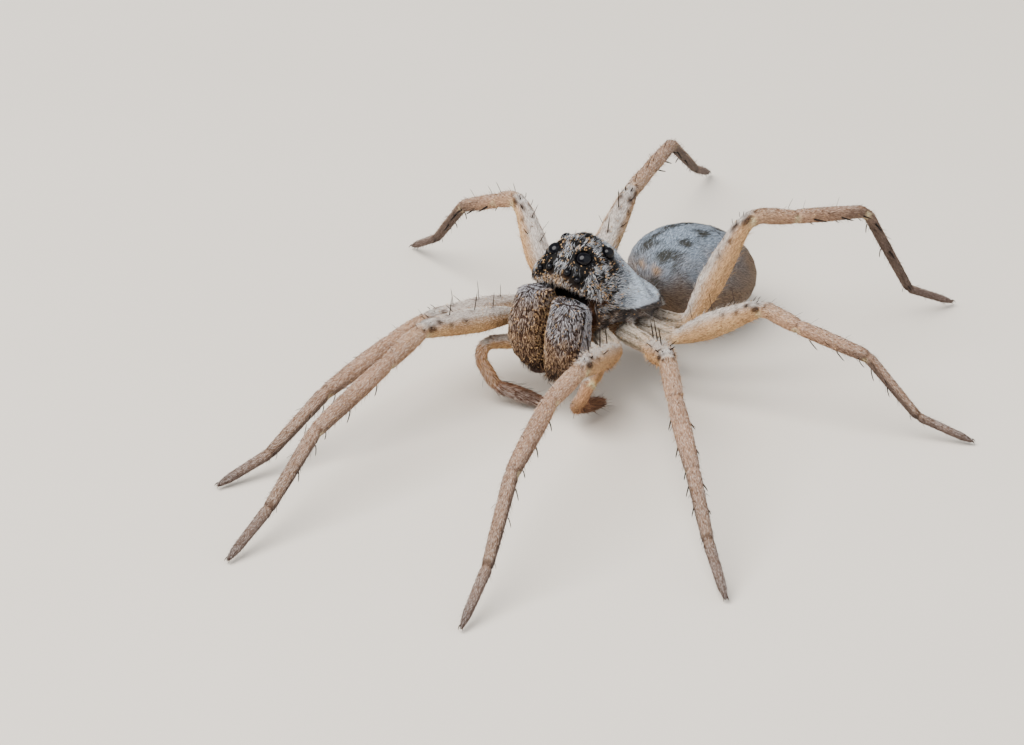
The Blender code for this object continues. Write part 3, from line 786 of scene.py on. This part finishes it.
def spine_feet(spots, above, side):
    """Dark spots at the feet of the spines and beside each knee."""
    turn = np.degrees(np.arctan2(abs(side), above))
    dark = np.zeros(len(turn))
    marks = [(*spot, KNEE_SPREAD * spot[2]) for spot in KNEE_SPOTS]
    feet = [spine for spine in SPINES if spine[0] < FOOT_SPOTS_END]
    marks += [(place + FOOT_SHIFT, middle, *FOOT_SPOT) for place, middle, *_ in feet]
    for place, middle, width, strength, spread in marks:
        dark = np.maximum(dark, strength * bell(spots.segment, place, width) * bell(turn, middle, spread))
    return np.minimum(dark, 1)


COLOURERS = {"carapace": colour_carapace, "jaw": colour_jaws, "abdomen": colour_abdomen,
             "under": colour_under, "leg": colour_limbs, "palp": colour_limbs}


def colour(spots, head):
    """Gives every spot its colours."""
    for kind, colourer in COLOURERS.items():
        chosen = spots.kind == kind
        part = spots.take(chosen)
        colourer(part, head)
        for key in COLOURS + SHARES:
            getattr(spots, key)[chosen] = getattr(part, key)


# ---- hairs ----

SETA = {
    # kind: density per square mm, length, width, lift in degrees and sideways waviness
    "carapace": (330, 0.28, 0.031, 11, 0.55), "jaw": (320, 0.22, 0.031, 8, 0.26),
    "abdomen": (330, 0.25, 0.027, 12, 0.14), "under": (110, 0.28, 0.034, 18, 0.22),
    "leg": (290, 0.20, 0.031, 10, 0.18), "palp": (330, 0.22, 0.029, 15, 0.20),
}
HAIR_RINGS, SPINE_RINGS = 1, 4
STRAY_WIDTH, STRAY_LIFT = 0.75, 42  # of a long hair that stands out, against the coat's width, and in degrees
DUST_LENGTH, DUST_WIDTH, DUST_LIFT = 0.09, 0.085, 38  # of a crumb-like sandy tuft
SAND = srgb(218, 178, 132)
SOCKETS_CLEAR = 0.065  # bare rim round an eye
ROOT_DEPTH, RIDGE = 0.012, 1.1  # how deep a spike is rooted, and how high it is for its half width
SPINE_FOOT = 0.86  # a spine's root, in radii of its limb
TAPER = 0.45  # the part of its width that a spike loses on the way to its tip


def lie_of(spots, head):
    """The way the hairs point: back over the body, down the face and out along the limbs."""
    points, normals = spots.point, spots.normal
    carapace, jaw, abdomen = (spots.kind == kind for kind in ("carapace", "jaw", "abdomen"))
    across = head.across(points)
    side = np.sign(across) * ease(0.15, 1.2, abs(across))
    lie = spots.tangent.copy()
    lie[carapace, 0] = 0.28 * side[carapace]
    lie[carapace, 2] = -0.50 * (1 - ease(-1.0, 1.0, normals[carapace, 2]))
    lie[carapace & (points[:, 1] < head.brow[1] - 0.10) & (points[:, 2] < head.brow[2])] = (0.0, -0.15, -1.0)
    lie[jaw] = (0.0, 0.10, -1.0)
    lie[jaw, 0] = -0.14 * side[jaw]
    low, high = box_of("abdomen")
    along = (points[abdomen, 1] - low[1]) / (high[1] - low[1])
    lie[abdomen, 2] = 0.30 - 0.85 * ease(0.0, 0.55, along)
    lie[abdomen, 0] = 0.22 * side[abdomen]
    return lie


def root_spots(surface, rng):
    """Roots of the hairs, as dense on each quad as its kind asks."""
    quads = surface.quads
    area = 0.5 * norm(quad_spans(surface.corners, quads))
    density = np.array([SETA[kind][0] for kind in surface.kind[quads[:, 0]]], float)
    density *= 1 + 0.35 * ease(5.0, 5.6, surface.segment[quads[:, 0]])
    count = np.floor(density * area + rng.random(len(quads))).astype(int)
    face = np.repeat(np.arange(len(quads)), count)
    across, up = rng.random((2, len(face), 1))
    a, b, c, d = (surface.corners[column] for column in quads[face].T)
    point = (1 - across) * ((1 - up) * a + up * d) + across * ((1 - up) * b + up * c)
    spots = surface.spots(quads[face, 0])
    spots.point, spots.normal = point, unit(surface.normals[quads[face]].mean(axis=1))
    colour(spots, surface.head)
    keep = rng.random(len(face)) >= spots.bare
    for middle, radius in surface.head.eyes.values():
        keep &= norm(point - middle) > radius + SOCKETS_CLEAR
    return spots.take(keep)


def size_hairs(hairs, head, rng):
    """Length, width, lift, waviness and crumbs of the hairs. Face and feet have the smallest."""
    count, z = len(hairs), hairs.point[:, 2]
    table = np.array([SETA[kind][1:] for kind in hairs.kind])
    length, width, lift, hairs.wave = table.T
    carapace, jaw, leg, palp = (hairs.kind == kind for kind in ("carapace", "jaw", "leg", "palp"))
    length = length * rng.uniform(0.7, 1.25, count)
    width = width * rng.uniform(0.75, 1.25, count)
    lift = np.radians(lift) * rng.uniform(0.5, 1.6, count)
    length *= 1 - 0.62 * head.near_eye(hairs.point) * carapace
    length *= 1 - 0.25 * ease(4.2, 5.6, hairs.segment) * leg
    length *= 1 + 0.80 * ease(4.4, 5.2, hairs.segment) * palp
    width *= 1 - 0.22 * (carapace * ease(0.0, 1.4, hairs.point[:, 1] - head.nape[1]))
    above, _ = hairs.sides()
    limb = leg | palp
    crest = carapace & (z > head.nape[2] - 0.35)
    chance = np.select([crest, carapace, limb & (hairs.segment > 1.1)], [0.035, 0.012, 0.06], 0)
    stray = rng.random(count) < chance
    fringe = jaw & (z < head.jaws["L"][0][2] + 0.80) & (rng.random(count) < 0.55)
    longer = np.where(fringe, 2.1, 1.7 + 0.5 * ease(0.3, 0.9, -above) * limb)
    stray |= fringe
    length = np.where(stray, length * longer, length)
    width = np.where(stray, width * STRAY_WIDTH, width)
    lift = np.where(stray, np.radians(STRAY_LIFT), lift)
    hairs.dusty = rng.random(count) < hairs.dust
    hairs.length = np.where(hairs.dusty, DUST_LENGTH * rng.uniform(0.5, 1.4, count), length)
    hairs.width = np.where(hairs.dusty, DUST_WIDTH * rng.uniform(0.4, 1.4, count), width)
    hairs.lift = np.where(hairs.dusty, np.radians(DUST_LIFT), lift)


def spikes(hairs, rings):
    """Corners of closed three-sided spikes: rings of three corners each, then a tip."""
    side = np.cross(hairs.normal, hairs.lie)
    corners = np.empty((len(hairs), 3 * rings + 1, 3))
    for k in range(rings + 1):
        share = k / rings
        rise = hairs.length * (share * np.sin(hairs.lift) - hairs.curl * share ** 2)
        run = hairs.length * share * np.cos(hairs.lift)
        centre = hairs.point + hairs.lie * run[:, None] + hairs.normal * rise[:, None]
        if k == rings:
            corners[:, -1] = centre
            break
        if k == 0:
            centre = centre - hairs.normal * ROOT_DEPTH
        half = (hairs.width * (1 - TAPER * share ** 2) / 2)[:, None]
        corners[:, 3 * k] = centre - side * half
        corners[:, 3 * k + 1] = centre + side * half
        corners[:, 3 * k + 2] = centre + hairs.normal * half * RIDGE
    return corners


def spike_faces(rings):
    """The corners of one spike's faces: its foot, its sides and the three at its tip."""
    faces = [(0, 2, 1)]
    turns = ((0, 1), (1, 2), (2, 0))
    last = 3 * rings - 3
    for k in range(0, last, 3):
        faces += [(k + a, k + b, k + b + 3, k + a + 3) for a, b in turns]
    return faces + [(last + a, last + b, 3 * rings) for a, b in turns]


def inside_box(corners):
    """Corners kept above the floor and near the box of the solids."""
    low = np.array(cad_low) / MM - OUTER_MARGIN
    high = np.array(cad_high) / MM + OUTER_MARGIN
    low[2] = FLOOR_GAP
    return np.clip(corners, low, high)


def mesh_in_metres(name, corners, faces):
    mesh = bpy.data.meshes.new(name)
    mesh.from_pydata((np.array(corners) * MM).tolist(), [], faces)
    mesh.shade_smooth()
    return mesh


def spike_mesh(name, hairs, rings):
    """One mesh of closed spikes with the attribute tint and the map OFBake."""
    corners = inside_box(spikes(hairs, rings)).reshape(-1, 3)
    each, one = 3 * rings + 1, spike_faces(rings)
    faces = [[start + i for i in face] for start in range(0, len(corners), each) for face in one]
    mesh = mesh_in_metres(name, corners, faces)
    share = np.append(np.repeat(np.arange(rings) / rings, 3), 1.0)
    tinge = np.minimum(1.3 * share, 1)[:, None]
    set_tint(mesh, (hairs.foot[:, None] + (hairs.tip - hairs.foot)[:, None] * tinge).reshape(-1, 3))
    uv = patches(hairs.uv, share).reshape(-1, 2)[read(mesh.loops, "vertex_index").ravel()]
    mesh.uv_layers.new(name="OFBake").uv.foreach_set("vector", uv.astype(np.float32).ravel())
    return mesh


def set_tint(mesh, colours):
    tint = mesh.attributes.new("tint", "FLOAT_COLOR", "POINT")
    rgba = np.ones((len(colours), 4), np.float32)
    rgba[:, :3] = np.clip(colours, 0, 1)
    tint.data.foreach_set("color", rgba.ravel())


# ---- unwrap ----

BAKE_PATCH = 0.003
EDGE = 0.003  # kept clear round each unwrap


def patches(uv, share):
    """A patch at each root's place on the unwrap, with the spike's sides across and its tip up."""
    half = BAKE_PATCH / 2
    across = np.append(np.tile((-half, half, 0), len(share) // 3), 0)
    shift = np.stack([across, BAKE_PATCH * share - half], axis=1)
    return np.clip(uv[:, None] + shift, 0.0002, 0.9998)


def unwrap_round(points):
    """The skin round a middle point, opened out into a square."""
    low, high = points.min(axis=0), points.max(axis=0)
    direction = (points - (low + high) / 2) / ((high - low) / 2)
    x, y, z = (direction / np.abs(direction).sum(axis=1, keepdims=True)).T
    u = np.where(z >= 0, x, (1 - abs(y)) * np.where(x >= 0, 1, -1))
    v = np.where(z >= 0, y, (1 - abs(x)) * np.where(y >= 0, 1, -1))
    return 0.5 + (0.5 - EDGE) * np.stack([u, v], axis=1)


def unwrap_limb(spots, limb):
    """The skin of a limb, slit along its underside and rolled out."""
    above, side = spots.sides()
    turn = np.arctan2(side, above) / (2 * math.pi) + 0.5
    return EDGE + (1 - 2 * EDGE) * np.stack([turn, spots.along / limb.length], axis=1)


def unwrap(spots, limbs, head):
    """Each hair's place on its piece's unwrap; jaws and palps have a half for each side."""
    uv = np.zeros((len(spots), 2))
    for kind in ("carapace", "abdomen", "under"):
        chosen = spots.kind == kind
        uv[chosen] = unwrap_round(spots.point[chosen])
    left = head.across(spots.point) > 0
    for column, on_side in enumerate((left, ~left)):
        chosen = (spots.kind == "jaw") & on_side
        uv[chosen] = (unwrap_round(spots.point[chosen]) + (column, 0)) / (2, 1)
    for i, limb in enumerate(limbs):
        chosen = spots.limb == i
        uv[chosen] = unwrap_limb(spots.take(chosen), limb)
        if limb.kind == "palp":
            uv[chosen] = (uv[chosen] + (limb.label == "R", 0)) / (2, 1)
    return uv


# ---- materials ----

def new_material(name):
    material = bpy.data.materials.new(name)
    material.use_nodes = True
    return material, material.node_tree, material.node_tree.nodes["Principled BSDF"]


def set_inputs(tree, node, inputs):
    """Sets each named input to a value, or joins it to another node's output."""
    for key, value in inputs.items():
        if isinstance(value, bpy.types.NodeSocket):
            tree.links.new(value, node.inputs[key])
        else:
            node.inputs[key].default_value = value


def add_node(tree, kind, output, inputs):
    """A new node with its inputs set; gives the named output."""
    node = tree.nodes.new(f"ShaderNode{kind}")
    set_inputs(tree, node, inputs)
    return node.outputs[output]


def add_noise(tree, scale):
    """Noise over the object's own coordinates."""
    place = add_node(tree, "TexCoord", "Object", {})
    return add_node(tree, "TexNoise", "Fac", {"Scale": scale, "Detail": 3.0, "Vector": place})


def add_range(tree, value, low, high):
    """The value, from 0 to 1, moved to between low and high."""
    return add_node(tree, "MapRange", "Result", {"To Min": low, "To Max": high, "Value": value})


def add_ramp(tree, value, low, high):
    """A colour between two, by a value from 0 to 1."""
    ramp = tree.nodes.new("ShaderNodeValToRGB")
    for element, tone in zip(ramp.color_ramp.elements, (low, high)):
        element.color = (*tone, 1)
    tree.links.new(value, ramp.inputs["Fac"])
    return ramp.outputs["Color"]


def tinted_material(name, roughness, variation, scale, bump):
    """A surface coloured by the attribute tint, varied and roughened by noise."""
    material, tree, shader = new_material(name)
    tint = tree.nodes.new("ShaderNodeAttribute")
    tint.attribute_name = "tint"
    fine = add_noise(tree, scale)
    mix = tree.nodes.new("ShaderNodeVectorMath")
    mix.operation = "SCALE"
    shade = add_range(tree, fine, 1 - variation, 1 + variation)
    set_inputs(tree, mix, {0: tint.outputs["Color"], "Scale": shade})
    relief = {"Distance": bump, "Strength": 0.6, "Height": add_noise(tree, scale * 2.2)}
    set_inputs(tree, shader, {"Base Color": mix.outputs["Vector"], "Specular IOR Level": 0.12,
                              "Roughness": add_range(tree, fine, roughness - 0.12, roughness + 0.12),
                              "Normal": add_node(tree, "Bump", "Normal", relief)})
    return material


def glossy_material(name, low, high, *, roughness, specular, scale):
    """A dark polished surface that wavers between two colours."""
    material, tree, shader = new_material(name)
    noise = add_noise(tree, scale)
    set_inputs(tree, shader, {"Base Color": add_ramp(tree, noise, low, high), "Specular IOR Level": specular,
                              "Roughness": add_range(tree, noise, roughness * 0.7, roughness * 1.3)})
    return material


# ---- pieces ----

SAND_DARK = 0.8  # the foot of a sandy tuft, against its tip
CLAW_LENGTH, CLAW_WIDTH, CLAW_SPREAD = 0.30, 0.070, 0.075
CLAW_BEND, CLAW_DROOP = 1.35, 0.8  # the turn from root to tip in radians, and how round the hook is
CLAW_RINGS, CLAW_SIDES = 7, 6
CLAW_PLACE, CLAW_SEAT, CLAW_SPLAY = 5.95, 0.30, 0.25  # in segments, in radii over the middle, and outward
SPINE_SHIFT, SPINE_TWIST, SPINE_GROWTH = 0.02, 7, 0.10  # most change in segments, degrees and length
SPINE_CURL, HAIR_CURL = 0.10, 0.16  # how far a tip bends down, by the length
EYE_RINGS, EYE_SIDES = 26, 40
LENS_HALF, LENS_EDGE, LENS_STEP = 35, 85, 0.02  # the clear lens in degrees from its middle, and its step


def add_piece(name, mesh, material):
    piece = bpy.data.objects.new(name, mesh)
    bpy.context.scene.collection.objects.link(piece)
    mesh.materials.append(material)
    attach(piece, "root")
    return piece


def make_skin(surface, material):
    spots = surface.spots(np.arange(len(surface.corners)))
    colour(spots, surface.head)
    mesh = mesh_in_metres("skin", surface.corners, surface.quads.tolist())
    set_tint(mesh, spots.skin)
    skin = add_piece("skin", mesh, material)
    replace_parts(skin, *surface.flesh)


def make_coat(surface, material, rng):
    """Hairs over the whole skin, in one piece for each limb or region."""
    limbs, head = surface.limbs, surface.head
    hairs = root_spots(surface, rng)
    size_hairs(hairs, head, rng)
    count = len(hairs)
    lie = flat_on(lie_of(hairs, head), hairs.normal)
    swing = hairs.wave * (0.8 * ripple(hairs.point, 0.75, 31) + 0.5 * ripple(hairs.point, 0.33, 32))
    swing += rng.normal(0, 0.13, count) + hairs.dusty * rng.uniform(-2, 2, count)
    hairs.lie = unit(lie + np.cross(hairs.normal, lie) * swing[:, None])
    hairs.curl = HAIR_CURL * rng.uniform(0.3, 1.0, count)
    dark, dusty = (rng.random(count) < hairs.dark_share)[:, None], hairs.dusty[:, None]
    tip = np.where(dark, hairs.dark, hairs.pale) * rng.uniform(0.82, 1.15, count)[:, None]
    sandy = SAND * rng.uniform(0.35, 1.25, count)[:, None]
    hairs.tip = np.where(dusty, sandy, tip)
    hairs.foot = np.where(dusty, SAND_DARK * sandy, blend(tip, hairs.skin, 0.45))
    hairs.uv = unwrap(hairs, limbs, head)
    names = np.array([COATS[kind][0] + (f"_{limbs[limb].label}" if kind == "leg" else "")
                      for limb, kind in zip(hairs.limb, hairs.kind)])
    for name in sorted(set(names)):
        own = hairs.take(names == name)
        add_piece(name, spike_mesh(name, own, HAIR_RINGS), material)


def make_spines(limbs, material, rng):
    """Stiff dark spines in rows along the legs, and a few on the palps' last segments."""
    rows = []
    for i, limb in enumerate(limbs):
        for place, turn, lift, length, width in SPINES if limb.kind == "leg" else PALP_SPINES:
            for side in ((1, -1) if turn % 180 else (1,)):
                shift, twist, growth = rng.uniform(-1, 1, 3)
                middle, tangent, back, radius = limb.at(place + SPINE_SHIFT * shift)
                angle = math.radians(side * turn + SPINE_TWIST * twist)
                out = back * math.cos(angle) + np.cross(tangent, back) * math.sin(angle)
                uv = ((i + 0.5 + angle / (2 * math.pi)) / len(limbs) % 1, limb.place(place) / limb.length)
                rows.append((middle + SPINE_FOOT * radius * out, out, tangent,
                             length * (1 + SPINE_GROWTH * growth), width, math.radians(lift), uv))
    keys = ("point", "normal", "lie", "length", "width", "lift", "uv")
    spines = Rows({key: np.array(column) for key, column in zip(keys, zip(*rows))})
    spines.curl = np.full(len(rows), SPINE_CURL)
    spines.foot = np.tile(srgb(20, 14, 12), (len(rows), 1))
    spines.tip = np.tile(srgb(34, 25, 21), (len(rows), 1))
    rise = spines.normal[:, 2] * np.sin(spines.lift) + spines.lie[:, 2] * np.cos(spines.lift)
    fits = spines.point[:, 2] + spines.length * rise < cad_high[2] / MM + OUTER_MARGIN
    add_piece("spines", spike_mesh("spines", spines.take(fits), SPINE_RINGS), material)


def closed_tube(rings, sides, first, start):
    """Faces along rings of corners, from the first, and to the tip that follows them.

    Start tells at which of its corners each quad begins, and so how it is split.
    """
    faces = []
    for k in range(rings):
        here = first + k * sides
        after = here + sides
        for i in range(sides):
            j = (i + 1) % sides
            if k < rings - 1:
                quad = (here + j, here + i, after + i, after + j)
                faces.append(quad[start:] + quad[:start])
            else:
                faces.append((here + j, here + i, after))
    return faces


def claw(root, ahead, down, side):
    """Corners of one claw, which runs ahead and curves down to its point."""
    corners = []
    for k in range(CLAW_RINGS + 1):
        share = k / CLAW_RINGS
        bend = CLAW_BEND * share
        run = ahead * math.sin(bend) + down * (1 - math.cos(bend)) * CLAW_DROOP
        centre = root + CLAW_LENGTH * run / CLAW_BEND
        half = CLAW_WIDTH / 2 * (1 - share) ** 0.7
        turns = [2 * math.pi * i / CLAW_SIDES for i in range(CLAW_SIDES)] if k < CLAW_RINGS else [0]
        corners += [centre + half * (math.cos(turn) * side + math.sin(turn) * down) for turn in turns]
    return corners


def make_claws(limbs, material):
    """A pair of hooked claws at the tip of each leg, all in one mesh."""
    corners, faces = [], []
    for limb in limbs[:len(LEGS)]:
        middle, tangent, back, radius = limb.at(CLAW_PLACE)
        side = np.cross(tangent, back)
        for hand in (-1, 1):
            root = middle + CLAW_SEAT * radius * back + hand * CLAW_SPREAD * side
            foot = range(len(corners), len(corners) + CLAW_SIDES)
            faces += [tuple(foot)] + closed_tube(CLAW_RINGS, CLAW_SIDES, len(corners), 0)
            corners += claw(root, unit(tangent + CLAW_SPLAY * hand * side), -back, side)
    add_piece("claws", mesh_in_metres("claws", inside_box(np.array(corners)), faces), material)


def eye_shape(middle, radius, axis):
    """A ball whose clear front lens stands a little proud of the rest."""
    first = unit(np.cross(axis, (0.0, 0.0, 1.0)))
    second = np.cross(axis, first)
    corners = [middle + axis * radius]
    for k in range(1, EYE_RINGS):
        angle = math.pi * k / EYE_RINGS
        size = radius * (1 - LENS_STEP * float(ease(LENS_HALF, LENS_EDGE, np.degrees(angle))))
        for i in range(EYE_SIDES):
            turn = 2 * math.pi * i / EYE_SIDES
            round_it = first * math.cos(turn) + second * math.sin(turn)
            corners.append(middle + size * (axis * math.cos(angle) + round_it * math.sin(angle)))
    corners.append(middle - axis * radius * (1 - LENS_STEP))
    faces = [(0, 1 + i, 1 + (i + 1) % EYE_SIDES) for i in range(EYE_SIDES)]
    return corners, faces + closed_tube(EYE_RINGS - 1, EYE_SIDES, 1, 1)


def make_eyes(surface):
    material = glossy_material("eye_glass", (0.001, 0.001, 0.002), (0.002, 0.002, 0.004),
                               roughness=0.11, specular=0.22, scale=900)
    for node, (middle, radius) in surface.head.eyes.items():
        name = node.replace("eye", "cornea")
        mesh = mesh_in_metres(name, *eye_shape(middle, radius, surface.eye_axes[node]))
        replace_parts(add_piece(name, mesh, material), node)


def make_fangs(material, head):
    """The fangs as smooth horn in place of their faceted solids."""
    for side in "LR":
        node = f"fang_{side}"
        corners, quads, edges = remeshed([node], FANG_GRID, head.middle)
        mesh = mesh_in_metres(f"horn_{node}", smoothed(corners, edges, FANG_ROUNDS), quads.tolist())
        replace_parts(add_piece(f"horn_{node}", mesh, material), node)


# ---- floor, light and camera ----

FLOOR_SIZE, FLOOR_DROP = 4.0, 0.00002
KEY = ((-0.06, -0.22, 0.38), 0.44, 4.9, (1.0, 0.98, 0.95))  # place, size, power and colour
FILL = ((0.46, 0.02, 0.30), 1.20, 3.4, (0.92, 0.96, 1.0))
SKY, SKY_STRENGTH = (0.93, 0.96, 1.0, 1), 0.42
AZIMUTH, ELEVATION, DISTANCE = math.radians(38.6), math.radians(27.7), 0.230
TARGET = Vector((-0.004430, -0.001175, 0.000271))
FOCAL_LENGTH, SENSOR_WIDTH = 160.76, 36
CLIP_START, CLIP_END = 0.001, 20


def make_floor():
    bpy.ops.mesh.primitive_plane_add(size=FLOOR_SIZE, location=(0, 0, -FLOOR_DROP))
    floor = bpy.context.object
    floor.name = "floor"
    material, tree, shader = new_material("pale_floor")
    pale = add_ramp(tree, add_noise(tree, 60), (0.70, 0.64, 0.56), (0.74, 0.68, 0.60))
    set_inputs(tree, shader, {"Base Color": pale, "Roughness": 0.9})
    floor.data.materials.append(material)


def add_object(name, data, place, facing):
    """A lamp or camera at its place, turned to look along facing."""
    thing = bpy.data.objects.new(name, data)
    bpy.context.scene.collection.objects.link(thing)
    thing.location = place
    thing.rotation_mode = "QUATERNION"
    thing.rotation_quaternion = facing.to_track_quat("-Z", "Y")
    return thing


def make_lights():
    for name, (place, size, power, tone) in (("key", KEY), ("fill", FILL)):
        light = bpy.data.lights.new(name, "AREA")
        light.shape = "DISK"
        light.size = size
        light.energy = power
        light.color = tone
        add_object(name, light, place, -Vector(place))
    world = bpy.data.worlds.new("studio")
    world.use_nodes = True
    background = world.node_tree.nodes["Background"]
    background.inputs["Color"].default_value = SKY
    background.inputs["Strength"].default_value = SKY_STRENGTH
    bpy.context.scene.world = world


def make_camera():
    back = Vector((math.sin(AZIMUTH) * math.cos(ELEVATION), -math.cos(AZIMUTH) * math.cos(ELEVATION),
                   math.sin(ELEVATION)))
    data = bpy.data.cameras.new("camera")
    data.lens = FOCAL_LENGTH
    data.sensor_width = SENSOR_WIDTH
    data.clip_start = CLIP_START
    data.clip_end = CLIP_END
    bpy.context.scene.camera = add_object("camera", data, TARGET + back * DISTANCE, -back)


def main():
    rng = np.random.default_rng(SEED)
    surface = Surface(make_limbs(), Head())
    hair = tinted_material("hair", roughness=0.58, variation=0.14, scale=9000, bump=0.000004)
    make_skin(surface, tinted_material("hide", roughness=0.62, variation=0.16, scale=5200, bump=0.00003))
    make_coat(surface, hair, rng)
    make_spines(surface.limbs, hair, rng)
    horn = glossy_material("horn", (0.020, 0.008, 0.005), (0.045, 0.016, 0.009),
                           roughness=0.36, specular=0.25, scale=2500)
    make_fangs(horn, surface.head)
    make_claws(surface.limbs, horn)
    make_eyes(surface)
    make_floor()
    make_lights()
    make_camera()


main()
